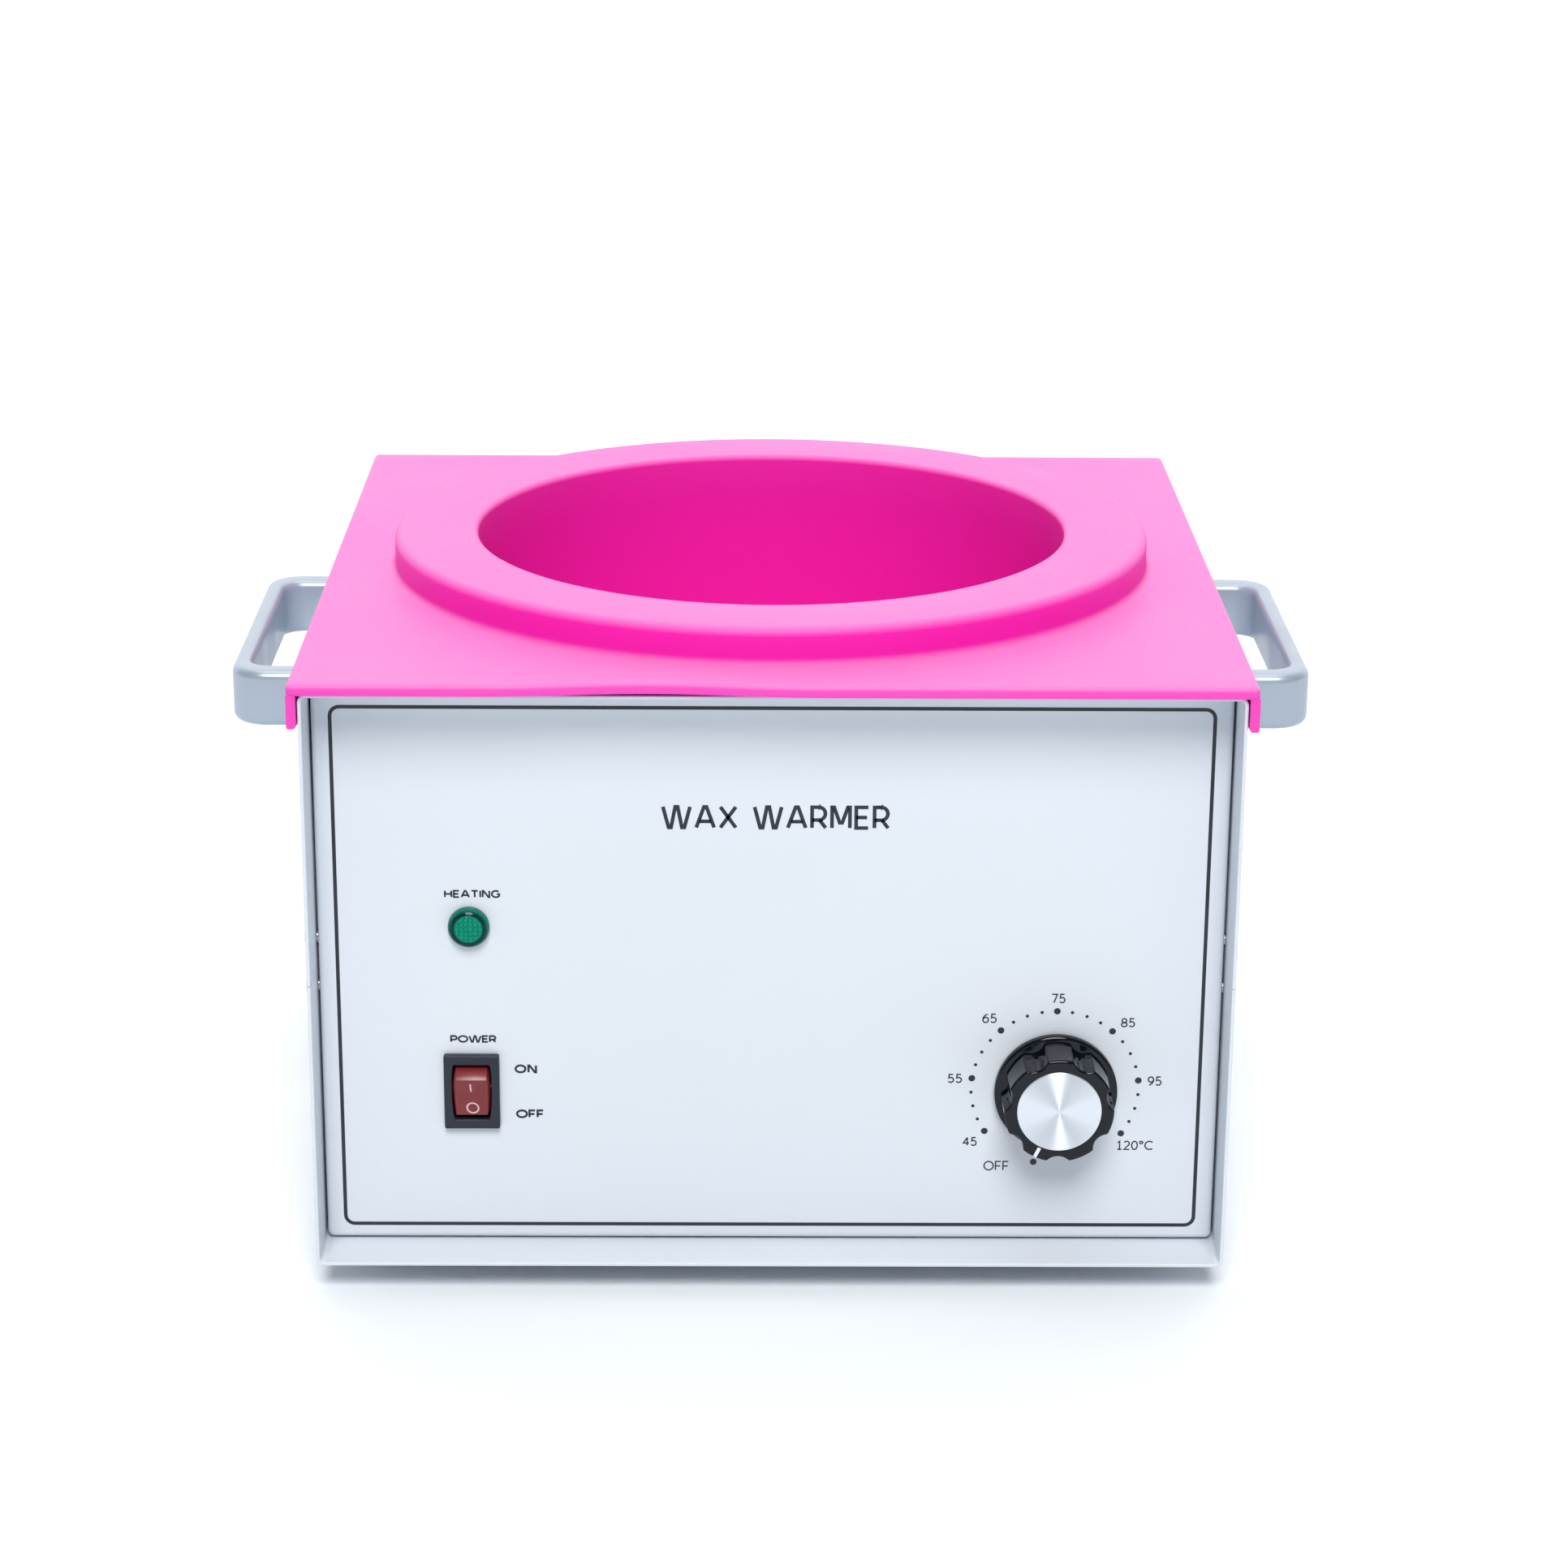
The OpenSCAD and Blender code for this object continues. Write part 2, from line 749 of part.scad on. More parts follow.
module heat_shield() {
    color([0.82, 0.83, 0.85])
    difference() {
        translate([0, 0, shield_z0]) cylinder(r = shield_r, h = shield_z1 - shield_z0);
        translate([0, 0, shield_z0 + shield_t]) cylinder(r = shield_r - shield_t, h = 200);
        at_rear() translate([shield_r / 2, -jacket_slot_w / 2, shield_slot_z[0]])
            cube([shield_r, jacket_slot_w, shield_slot_z[1] - shield_slot_z[0]]);
        rotate([0, 0, -40]) translate([0, 0, shield_z0 + 9])
            rod_x(shield_grommet_r, shield_r - 10, shield_r + 10);
        at_corners(standoff_pitch / 2, standoff_pitch / 2) cylinder(r = shield_hole_r, h = well_bottom_z);
    }
}

module shield_standoffs() {
    color([0.75, 0.76, 0.78])
    at_corners(standoff_pitch / 2, standoff_pitch / 2)
        translate([0, 0, floor_z]) difference() {
            cylinder(r = standoff_r, h = shield_z0 - floor_z, $fn = 6);
            translate([0, 0, -cut]) cylinder(r = SHIELD_SCREW[0] + thread_clear, h = shield_z0);
        }
}

module shield_screws() {
    color([0.78, 0.79, 0.80])
    at_corners(standoff_pitch / 2, standoff_pitch / 2) {
        translate([0, 0, base_z]) mirror([0, 0, 1]) pan_screw(SHIELD_SCREW);
        translate([0, 0, shield_z0 + shield_t]) pan_screw(SHIELD_SCREW);
    }
}

module thermostat_bulb() {
    color([0.78, 0.52, 0.36])
    translate([0, bulb_y, bulb_z]) rod_x(bulb_r, -bulb_len / 2, bulb_len / 2);
}

module bulb_clip() {
    color([0.80, 0.81, 0.83])
    translate([0, bulb_y, 0]) {
        inner_r = bulb_r + 0.03;
        outer_r = inner_r + clip_t;
        along_x(-clip_w / 2, clip_w / 2) difference() {
            union() {
                translate([-clip_wing, well_bottom_z - clip_t]) square([2 * clip_wing, clip_t]);
                translate([-outer_r, bulb_z]) square([2 * outer_r, bulb_r]);
                translate([0, bulb_z]) circle(outer_r);
            }
            translate([0, bulb_z]) circle(inner_r);
            translate([-inner_r, bulb_z]) square([2 * inner_r, bulb_r + cut]);
        }
    }
}

module thermal_cutout() {
    color([0.80, 0.78, 0.72])
    translate([0, cutout_y, well_bottom_z - cutout_h]) {
        cylinder(r = cutout_r, h = cutout_h);
        for (s = [-1, 1]) translate([s * cutout_tab_x, 0, 1.5]) cube(cutout_tab, center = true);
    }
}

// ---------- thermostat and knob ----------

module thermostat_body() {
    color([0.74, 0.75, 0.77])
    difference() {
        union() {
            translate([dial_x - thermo_w / 2 - 2, panel_in_y, dial_h - thermo_h / 2])
                cube([thermo_w + 4, thermo_plate_t, thermo_h]);
            translate([dial_x - thermo_w / 2, panel_in_y, dial_h - thermo_h / 2 + 1])
                cube([thermo_w, thermo_d, thermo_h - 2]);
            on_front(dial_x, dial_h) translate([0, 0, -5]) cylinder(r = bush_r, h = bush_out + 5);
        }
        translate([dial_x, 0, dial_h])
            rod_y(shaft_r + shaft_clear, front_y - 5, shaft_back_y + 0.4);
    }
}

module thermostat_shaft() {
    color([0.80, 0.81, 0.83])
    difference() {
        translate([dial_x, 0, dial_h]) rod_y(shaft_r, panel_y - shaft_front, shaft_back_y);
        translate([dial_x - 2 * shaft_r, panel_y - shaft_front - cut, dial_h + shaft_flat])
            cube([4 * shaft_r, shaft_flat_l + cut, 2 * shaft_r]);
    }
}

module thermostat_nut() {
    color([0.78, 0.79, 0.80])
    on_front(dial_x, dial_h) translate([0, 0, thread_clear]) hex_nut(bush_flats, bush_r + thread_clear, nut_h);
}

module thermostat_tabs() {
    color([0.80, 0.66, 0.36])
    for (s = [-1, 1]) translate([dial_x + s * 9, panel_in_y + thermo_d, dial_h + 12])
        translate([-tab_w / 2, 0, -tab_t / 2]) cube([tab_w, tab_l, tab_t]);
}

module knob_plan() {
    difference() {
        circle(knob_lobe_r);
        for (i = [0 : knob_scallops - 1]) rotate(-90 + i * 360 / knob_scallops)
            translate([scallop_at, 0]) circle(scallop_r);
    }
}

function from_top(a) = 90 - a;

module knob_body() {
    color([0.09, 0.10, 0.12])
    on_front(dial_x, dial_h)
    difference() {
        union() {
            translate([0, 0, knob_skirt_z0]) cylinder(r = knob_r, h = skirt_edge_h);
            translate([0, 0, knob_skirt_z0 + skirt_edge_h])
                cylinder(r1 = knob_r, r2 = knob_r - skirt_bevel,
                    h = knob_skirt_z1 - knob_skirt_z0 - skirt_edge_h);
            translate([0, 0, knob_skirt_z1 - cut / 2])
                linear_extrude(knob_h - knob_skirt_z1 + cut / 2) knob_plan();
        }
        cylinder(r = knob_hollow_r + 1, h = bush_out + 1);
        translate([0, 0, cut]) difference() {
            cylinder(r = knob_hollow_r, h = knob_hollow_h - cut);
            translate([0, 0, bush_out - 0.6]) cylinder(r = knob_hub_r, h = knob_hollow_h);
        }
        translate([0, 0, -cut]) cylinder(r = shaft_r + thread_clear, h = shaft_front + cut + 0.3);
        translate([0, 0, knob_h - cap_t]) cylinder(r = cap_r + thread_clear, h = cap_t + cut);
        rotate([0, 0, from_top(pointer_angle)])
            translate([cap_r + 0.3, -pointer_w / 2 - thread_clear, knob_h - pointer_t - thread_clear])
                cube([5, pointer_w + 2 * thread_clear, cut]);
        rotate([0, 0, from_top(set_screw_angle)]) translate([0, 0, set_screw_h]) rotate([0, 90, 0])
            cylinder(r = set_screw_r + thread_clear, h = 2 * knob_r);
    }
}

module knob_cap() {
    color([0.88, 0.89, 0.91])
    on_front(dial_x, dial_h) translate([0, 0, knob_h - cap_t]) cylinder(r = cap_r, h = cap_t);
}

module knob_pointer() {
    color([0.96, 0.97, 0.98])
    on_front(dial_x, dial_h)
    intersection() {
        rotate([0, 0, from_top(pointer_angle)])
            translate([cap_r + 0.3 + thread_clear, -pointer_w / 2, knob_h - pointer_t])
                cube([5, pointer_w, pointer_t]);
        translate([0, 0, knob_h - 2]) linear_extrude(4) knob_plan();
    }
}

module knob_set_screw() {
    color([0.30, 0.30, 0.32])
    on_front(dial_x, dial_h) rotate([0, 0, from_top(set_screw_angle)])
        translate([shaft_r + 2 * thread_clear, 0, set_screw_h]) rotate([0, 90, 0]) difference() {
            cylinder(r = set_screw_r, h = set_screw_l);
            translate([0, 0, set_screw_l - 2]) cylinder(r = set_screw_r / 2, h = 3, $fn = 6);
        }
}

// ---------- lamp ----------

module lamp_lens() {
    color([0.02, 0.55, 0.35])
    on_front(switch_x, lamp_h)
    difference() {
        intersection() {
            cylinder(r = lamp_r, h = lamp_out);
            translate([0, 0, lamp_out - lamp_dome_r]) sphere(r = lamp_dome_r);
        }
        translate([0, 0, -cut]) cylinder(r = lamp_tube_r + 0.1, h = cut + 1.6);
    }
}

module lamp_body() {
    color([0.92, 0.92, 0.88])
    on_front(switch_x, lamp_h)
    difference() {
        translate([0, 0, -lamp_tube_l]) cylinder(r = lamp_tube_r, h = lamp_tube_l + 1.5);
        translate([0, 0, 2 - lamp_tube_l]) cylinder(r = lamp_bulb_r + 0.2, h = 2 * lamp_tube_l);
        for (s = [-1, 1]) translate([s * lead_x, 0, -lamp_tube_l - cut])
            cylinder(r = lead_r + 0.2, h = lamp_tube_l / 2);
    }
}

module lamp_bulb() {
    color([1.0, 0.70, 0.45])
    on_front(switch_x, lamp_h) {
        translate([0, 0, -18]) cylinder(r = lamp_bulb_r, h = 14);
        translate([0, 0, -4]) sphere(r = lamp_bulb_r);
        for (s = [-1, 1]) translate([s * lead_x, 0, -28]) cylinder(r = lead_r, h = 11);
    }
}

module lamp_clip() {
    color([0.75, 0.76, 0.78])
    on_front(switch_x, lamp_h) translate([0, 0, -sheet_t - 1.02]) difference() {
        cylinder(r = lamp_tube_r + 2.5, h = 1);
        translate([0, 0, -cut]) cylinder(r = lamp_tube_r + thread_clear, h = 1 + 2 * cut);
    }
}

// ---------- switch ----------

module switch_housing() {
    color([0.12, 0.13, 0.15])
    on_front(switch_x, switch_h)
    difference() {
        union() {
            linear_extrude(bezel_t) round_rect(bezel_w, bezel_h, 0.8);
            translate([-switch_body_w / 2, -switch_body_h / 2, -switch_body_d])
                cube([switch_body_w, switch_body_h, switch_body_d + 0.5]);
        }
        translate([-opening_w / 2, -opening_h / 2, bezel_t - opening_d])
            cube([opening_w, opening_h, opening_d + cut]);
        translate([0, 0, -pivot_in]) rod_x(rocker_pin_r + 0.05, -bezel_w, bezel_w);
    }
}

// Neutral outline of the rocker about its pivot, in the Y-Z plane
module rocker_outline() {
    intersection() {
        circle(rocker_arc_r);
        translate([-rocker_face, -rocker_arc_r])
            square([rocker_face - rocker_back, 2 * rocker_arc_r]);
    }
}

module switch_rocker() {
    color([0.72, 0.16, 0.18])
    translate([switch_x, panel_y + pivot_in, switch_h]) rotate([rocker_tilt, 0, 0]) {
        along_x(-rocker_w / 2, rocker_w / 2) rocker_outline();
        rod_x(rocker_pin_r, -rocker_pin_half, rocker_pin_half);
    }
}

module switch_terminals() {
    color([0.80, 0.66, 0.36])
    on_front(switch_x, switch_h)
    for (i = [-1 : 1]) translate([0, i * terminal_pitch, -switch_body_d - terminal_l / 2])
        cube([terminal_w, terminal_t, terminal_l], center = true);
}

// ---------- inlet, terminals and earth ----------

module inlet_housing() {
    color([0.10, 0.10, 0.11])
    on_rear(inlet_x, inlet_h)
    difference() {
        union() {
            linear_extrude(inlet_flange_t) round_rect(inlet_flange_w, inlet_flange_h, 5);
            translate([-inlet_body_w / 2, -inlet_body_h / 2, -inlet_body_d])
                cube([inlet_body_w, inlet_body_h, inlet_body_d + 1]);
        }
        translate([0, 0, inlet_flange_t - inlet_cavity_d]) linear_extrude(inlet_cavity_d + 1)
            round_rect(inlet_cavity_w, inlet_cavity_h, 2);
        for (s = [-1, 1]) translate([s * inlet_screw_x, 0, -cut])
            cylinder(r = inlet_hole_r, h = inlet_flange_t + 2 * cut);
        for (p = inlet_pin_places()) translate([p[0], p[1], -inlet_body_d])
            cube([pin_w + 2 * thread_clear, pin_h + 2 * thread_clear, 4 * inlet_body_d / 3], center = true);
    }
}

function inlet_pin_places() = [[-7, -1.5], [0, 2.5], [7, -1.5]];

module inlet_pins() {
    color([0.80, 0.66, 0.36])
    on_rear(inlet_x, inlet_h)
    for (p = inlet_pin_places())
        translate([p[0] - pin_w / 2, p[1] - pin_h / 2, -inlet_body_d - 7]) cube([pin_w, pin_h, pin_l]);
}

module inlet_screws() {
    color([0.78, 0.79, 0.80])
    on_rear(inlet_x, inlet_h) for (s = [-1, 1]) translate([s * inlet_screw_x, 0, 0]) {
        translate([0, 0, inlet_flange_t]) pan_screw(INLET_SCREW);
        translate([0, 0, -sheet_t - nut_h]) hex_nut(small_flats, CLAMP_SCREW[0] + thread_clear, nut_h);
    }
}

module at_poles() {
    for (i = [-1 : 1]) translate([block_x + i * pole_pitch, block_y, floor_z]) children();
}

module terminal_block() {
    color([0.92, 0.91, 0.87])
    difference() {
        translate([block_x - block_w / 2, block_y - block_d / 2, floor_z])
            cube([block_w, block_d, block_h]);
        at_poles() {
            translate([0, 0, pole_h]) rod_y(pole_bore_r, -block_d, block_d);
            for (s = [-1, 1]) translate([0, s * pole_screw_y, pole_h])
                cylinder(r = pole_screw_r + 0.1, h = block_h);
        }
    }
}

module terminal_screws() {
    color([0.80, 0.66, 0.36])
    at_poles() for (s = [-1, 1]) translate([0, s * pole_screw_y, pole_h + 1.3])
        cylinder(r = pole_screw_r, h = 3.5);
}

module earth_stud() {
    color([0.80, 0.66, 0.36])
    translate([earth_x, earth_y, floor_z]) {
        cylinder(r = 2, h = 11);
        cylinder(r = 4, h = 3.2, $fn = 6);
    }
}

// ---------- wires ----------

// Each route runs from one terminal to the other
live_route = [[59, 85.2, 49.5], [59, 82.5, 49.5], [58, 83, 41], [50, 90, 30], [24, 99, 20],
    [-30, 103.5, 14], [-54, 105.5, 16], [-57.5, 103.5, 17], [-57.5, 98, 17]];
neutral_route = [[73, 85.2, 49.5], [73, 82, 49.5], [72, 81, 40], [66, 84, 27], [30, 104, 29],
    [-30, 105.5, 22], [-74, 106, 20], [-78.5, 104, 17.5], [-78.5, 98, 17]];
earth_route = [[66, 85.2, 45.5], [66, 82.5, 45.5], [64, 81, 34], [52, 81, 18], [40, 86, 16],
    [35, 90, 16], [32.1, 90, 16]];
switch_route = [[-57.5, 88, 17], [-57.5, 78, 16], [-62, 50, 14], [-66, 0, 13], [-70, -50, 14],
    [-78, -76, 22], [-80.9, -79, 38], [-80.9, -80.5, 47.1], [-80.9, -85.2, 47.1]];
thermostat_route = [[-80.9, -85.2, 59.1], [-80.9, -81.5, 59.1], [-72, -88, 57], [-40, -99, 54],
    [0, -103.5, 54], [40, -99, 60], [54, -90, 74], [64, -84, 82], [68.2, -83, 76],
    [68.2, -83, 66.4]];
heater_route_a = [[86.2, -83, 66.4], [86.2, -83, 74], [94, -79, 70], [97, -74, 50],
    [88, -60, 26], [60, -40, 22], [50, 0, 22], [16, 42, 24], [8, 84, 27], [9, 100, 29],
    [10.5, 103, 40],
    [12, 104.5, 60], [12, 104.5, 84], [12, 102, 88], [12, 98, 88]];
heater_route_b = [[-12, 98, 88], [-12, 102, 88], [-12, 104.5, 84], [-12, 104.5, 60],
    [-14, 103, 40], [-15, 100, 29], [-24, 84, 27], [-60, 74, 24], [-76, 76, 20], [-78.5, 80, 17.5],
    [-78.5, 88, 17]];
lamp_route_a = [[-82.5, -82.2, 100.9], [-82.5, -78, 100.9], [-92, -72, 90], [-100, -60, 60],
    [-96, -50, 26], [-84, 0, 20], [-74, 60, 18], [-68, 78, 17], [-68, 88, 17]];
lamp_route_b = [[-79.4, -82.2, 100.9], [-79.4, -79, 100.9], [-86, -77, 90], [-88, -76, 62],
    [-85, -77, 54], [-80.9, -80.5, 53.1], [-80.9, -85.2, 53.1]];
capillary_route = [[77.2, -87.2, 42], [77.2, -84, 42], [79, -72, 43], [75.1, -63, 43],
    [60, -50, 43.5], [50, -30, 44], [44, -18, 44.4], [38, -18, 44.4]];

module capillary_tube() { color([0.78, 0.52, 0.36]) wire(capillary_route, capillary_r); }
module wire_inlet_live() { color([0.45, 0.25, 0.15]) wire(live_route, wire_r); }
module wire_inlet_neutral() { color([0.15, 0.30, 0.70]) wire(neutral_route, wire_r); }
module wire_inlet_earth() { color([0.35, 0.65, 0.20]) wire(earth_route, wire_r); }
module wire_switch() { color([0.45, 0.25, 0.15]) wire(switch_route, wire_r); }
module wire_thermostat() { color([0.45, 0.25, 0.15]) wire(thermostat_route, wire_r); }
module wire_heater_a() { color([0.85, 0.85, 0.82]) wire(heater_route_a, wire_r); }
module wire_heater_b() { color([0.85, 0.85, 0.82]) wire(heater_route_b, wire_r); }

module wire_lamp() {
    color([0.15, 0.15, 0.16]) {
        wire(lamp_route_a, lamp_wire_r);
        wire(lamp_route_b, lamp_wire_r);
    }
}

top_cover();
base_tray();
front_panel();
rear_panel();
casing_screws();
foot_front_left();
foot_front_right();
foot_rear_left();
foot_rear_right();
foot_screws();
handle_left();
handle_right();
handle_screws();
handle_washers();
silicone_liner();
heating_well();
well_gasket();
well_screws();
band_heater();
heater_clamp_screw();
insulation_jacket();
insulation_pad();
heat_shield();
shield_standoffs();
shield_screws();
thermostat_bulb();
bulb_clip();
capillary_tube();
thermal_cutout();
thermostat_body();
thermostat_shaft();
thermostat_nut();
thermostat_tabs();
knob_body();
knob_cap();
knob_pointer();
knob_set_screw();
lamp_lens();
lamp_body();
lamp_bulb();
lamp_clip();
switch_housing();
switch_rocker();
switch_terminals();
inlet_housing();
inlet_pins();
inlet_screws();
terminal_block();
terminal_screws();
earth_stud();
wire_inlet_live();
wire_inlet_neutral();
wire_inlet_earth();
wire_switch();
wire_thermostat();
wire_heater_a();
wire_heater_b();
wire_lamp();
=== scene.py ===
import math

import bmesh
import bpy
from mathutils import Matrix, Vector
from mathutils.geometry import tessellate_polygon


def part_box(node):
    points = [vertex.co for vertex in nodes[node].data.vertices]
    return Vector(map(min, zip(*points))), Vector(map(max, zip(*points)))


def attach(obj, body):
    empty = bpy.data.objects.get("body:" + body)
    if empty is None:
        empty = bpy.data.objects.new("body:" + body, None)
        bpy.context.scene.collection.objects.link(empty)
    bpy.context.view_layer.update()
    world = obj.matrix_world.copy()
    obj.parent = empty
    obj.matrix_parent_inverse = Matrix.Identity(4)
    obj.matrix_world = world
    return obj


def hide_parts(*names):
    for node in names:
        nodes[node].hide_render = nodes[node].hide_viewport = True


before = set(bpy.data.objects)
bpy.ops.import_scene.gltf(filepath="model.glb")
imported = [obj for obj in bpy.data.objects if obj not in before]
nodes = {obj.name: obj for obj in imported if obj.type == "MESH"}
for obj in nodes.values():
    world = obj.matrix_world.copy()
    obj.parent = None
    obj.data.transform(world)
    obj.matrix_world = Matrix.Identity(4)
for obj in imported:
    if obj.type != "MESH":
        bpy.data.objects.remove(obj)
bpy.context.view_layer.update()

# Wax warmer pot. Shapes are drawn in millimetres in the row frame: +X right, +Y to the rear, +Z up.
MM = 0.001

# ---------------------------------------------------------------- camera
CAMERA_AT = (-7.378, -1069.609, 462.005)
CAMERA_PITCH = 18.4855
CAMERA_YAW = -0.6205
CAMERA_ROLL = 0.3911
LENS = 87.954
SENSOR = 36.0

pitch = math.radians(CAMERA_PITCH)
turn = Matrix.Rotation(math.radians(CAMERA_YAW), 3, "Z")
forward = turn @ Vector((0, math.cos(pitch), -math.sin(pitch)))
level_right = turn @ Vector((1, 0, 0))
level_up = level_right.cross(forward)
roll = math.radians(CAMERA_ROLL)
right = math.cos(roll) * level_right + math.sin(roll) * level_up
up = math.cos(roll) * level_up - math.sin(roll) * level_right

lens_data = bpy.data.cameras.new("camera")
lens_data.lens = LENS
lens_data.sensor_width = SENSOR
lens_data.clip_start = 0.05
lens_data.clip_end = 50
camera = bpy.data.objects.new("camera", lens_data)
bpy.context.scene.collection.objects.link(camera)
camera.matrix_world = Matrix(
    (
        (right.x, up.x, -forward.x, CAMERA_AT[0] * MM),
        (right.y, up.y, -forward.y, CAMERA_AT[1] * MM),
        (right.z, up.z, -forward.z, CAMERA_AT[2] * MM),
        (0, 0, 0, 1),
    )
)
bpy.context.scene.camera = camera


def box_mm(node):
    """Lowest and highest corner of a CAD node, in millimetres."""
    low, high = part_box(node)
    return low / MM, high / MM


def middle(node):
    low, high = box_mm(node)
    return (low + high) / 2


# ---------------------------------------------------------------- materials
class Shader:
    """A material around one Principled shader, with helpers for procedural detail."""

    def __init__(self, name, color, rough=0.5, metallic=0.0, **sockets):
        self.material = bpy.data.materials.new(name)
        self.material.use_nodes = True
        self.material.diffuse_color = (*color, 1)
        self.tree = self.material.node_tree
        self.bsdf = self.tree.nodes["Principled BSDF"]
        self.color = color
        self.rough = rough
        self.set("Base Color", (*color, 1))
        self.set("Roughness", rough)
        self.set("Metallic", metallic)
        for socket, value in sockets.items():
            self.set(socket.replace("_", " "), value)
        self.coordinates = self.node("ShaderNodeTexCoord")
        self.place = self.coordinates.outputs["Object"]
        self.normal = None

    def node(self, kind, **values):
        n = self.tree.nodes.new(kind)
        for key, value in values.items():
            setattr(n, key, value)
        return n

    def link(self, a, b):
        self.tree.links.new(a, b)

    def set(self, socket, value):
        self.bsdf.inputs[socket].default_value = value

    def noise(self, scale, detail=3, stretch=None):
        n = self.node("ShaderNodeTexNoise")
        n.inputs["Scale"].default_value = scale
        n.inputs["Detail"].default_value = detail
        source = self.place
        if stretch:
            mapping = self.node("ShaderNodeMapping")
            mapping.inputs["Scale"].default_value = stretch
            self.link(source, mapping.inputs["Vector"])
            source = mapping.outputs["Vector"]
        self.link(source, n.inputs["Vector"])
        return n.outputs["Fac"]

    def ramp(self, fac, stops, at=(0.35, 0.65)):
        r = self.node("ShaderNodeValToRGB")
        while len(r.color_ramp.elements) < len(stops):
            r.color_ramp.elements.new(1.0)
        for element, position, value in zip(r.color_ramp.elements, at, stops):
            element.position = position
            element.color = value if len(value) == 4 else (*value, 1)
        self.link(fac, r.inputs["Fac"])
        return r.outputs["Color"]

    def about(self, node):
        """The place measured from the middle of a CAD node, and its distance from there."""
        moved = self.node("ShaderNodeVectorMath", operation="SUBTRACT")
        moved.inputs[1].default_value = middle(node) * MM
        self.link(self.place, moved.inputs[0])
        length = self.node("ShaderNodeVectorMath", operation="LENGTH")
        self.link(moved.outputs["Vector"], length.inputs[0])
        return moved.outputs["Vector"], length.outputs["Value"]

    def rise(self, value, low, high, top=1.0):
        """Goes evenly from 0 to top while the value goes from low to high."""
        n = self.node("ShaderNodeMapRange")
        n.inputs["From Min"].default_value = low
        n.inputs["From Max"].default_value = high
        n.inputs["To Max"].default_value = top
        self.link(value, n.inputs["Value"])
        return n.outputs["Result"]

    def tint(self, scale, amount, detail=3, stretch=None):
        """Varies the colour a little, lighter and darker, over patches of the given scale."""
        low = [max(0, c * (1 - amount)) for c in self.color]
        high = [min(1, c * (1 + amount)) for c in self.color]
        patches = self.ramp(self.noise(scale, detail, stretch), (low, high))
        self.link(patches, self.bsdf.inputs["Base Color"])
        return self

    def uneven(self, scale, amount, detail=3, stretch=None):
        """Varies the roughness."""
        low = [max(0.02, self.rough - amount)] * 3
        high = [min(1, self.rough + amount)] * 3
        patches = self.ramp(self.noise(scale, detail, stretch), (low, high))
        self.link(patches, self.bsdf.inputs["Roughness"])
        return self

    def bump(self, height, depth, strength=1.0):
        b = self.node("ShaderNodeBump")
        b.inputs["Distance"].default_value = depth * MM
        b.inputs["Strength"].default_value = strength
        self.link(height, b.inputs["Height"])
        if self.normal:
            self.link(self.normal, b.inputs["Normal"])
        self.normal = b.outputs["Normal"]
        self.link(self.normal, self.bsdf.inputs["Normal"])
        return self

    def grain(self, scale, depth, detail=2, stretch=None):
        return self.bump(self.noise(scale, detail, stretch), depth)


def powder_coat():
    s = Shader("white_powder_coat", (0.70, 0.75, 0.82), rough=0.42, Coat_Weight=0.12, Coat_Roughness=0.25)
    s.tint(9, 0.008)
    s.uneven(14, 0.05)
    return s.grain(1100, 0.010).material


def silver_coat():
    s = Shader("handle_silver", (0.39, 0.465, 0.55), rough=0.34, metallic=0.35)
    s.tint(30, 0.03)
    s.uneven(60, 0.06)
    return s.grain(1900, 0.010).material


def pink_silicone():
    """Deep pink, with a painted pale sheen (painted highlight) on the faces that look up and on the plate's
    outer part.
    """
    s = Shader(
        "pink_silicone",
        (0.84, 0.016, 0.47),
        rough=0.5,
        Subsurface_Weight=0.3,
        Subsurface_Radius=(0.004, 0.0005, 0.003),
        Subsurface_Scale=1.0,
        Specular_IOR_Level=0.2,
    )
    # Painted highlight: the colour goes paler pink the more the surface faces up, with a little random tone
    # mixed in.
    facing = s.node("ShaderNodeSeparateXYZ")
    s.link(s.coordinates.outputs["Normal"], facing.inputs[0])
    upward_sheen = s.node("ShaderNodeMath", operation="MULTIPLY_ADD")
    upward_sheen.inputs[1].default_value = 0.06
    s.link(s.noise(7), upward_sheen.inputs[0])
    s.link(facing.outputs["Z"], upward_sheen.inputs[2])
    # More painted sheen on the plate beyond about 112 mm from the middle, its edges and flaps included.
    across = s.node("ShaderNodeVectorMath", operation="LENGTH")
    flat = s.node("ShaderNodeVectorMath", operation="MULTIPLY")
    flat.inputs[1].default_value = (1, 1, 0)
    s.link(s.place, flat.inputs[0])
    s.link(flat.outputs["Vector"], across.inputs[0])
    painted_sheen_amount = s.node("ShaderNodeMath", operation="ADD")
    s.link(upward_sheen.outputs["Value"], painted_sheen_amount.inputs[0])
    s.link(s.rise(across.outputs["Value"], 0.112, 0.118, 0.32), painted_sheen_amount.inputs[1])
    # Painted sheen: deep pink turns pale pink where the painted sheen amount is high.
    painted_sheen = s.ramp(painted_sheen_amount.outputs["Value"], (s.color, (0.94, 0.20, 0.57)), (0.06, 1.0))
    s.link(painted_sheen, s.bsdf.inputs["Base Color"])
    s.uneven(11, 0.05)
    return s.grain(1500, 0.012).material


def metal(name, color, rough=0.3, grain_scale=900, depth=0.002, stretch=(1, 1, 12)):
    s = Shader(name, color, rough=rough, metallic=1.0)
    s.tint(40, 0.04)
    s.uneven(120, 0.03, stretch=stretch)
    return s.grain(grain_scale, depth, stretch=stretch).material


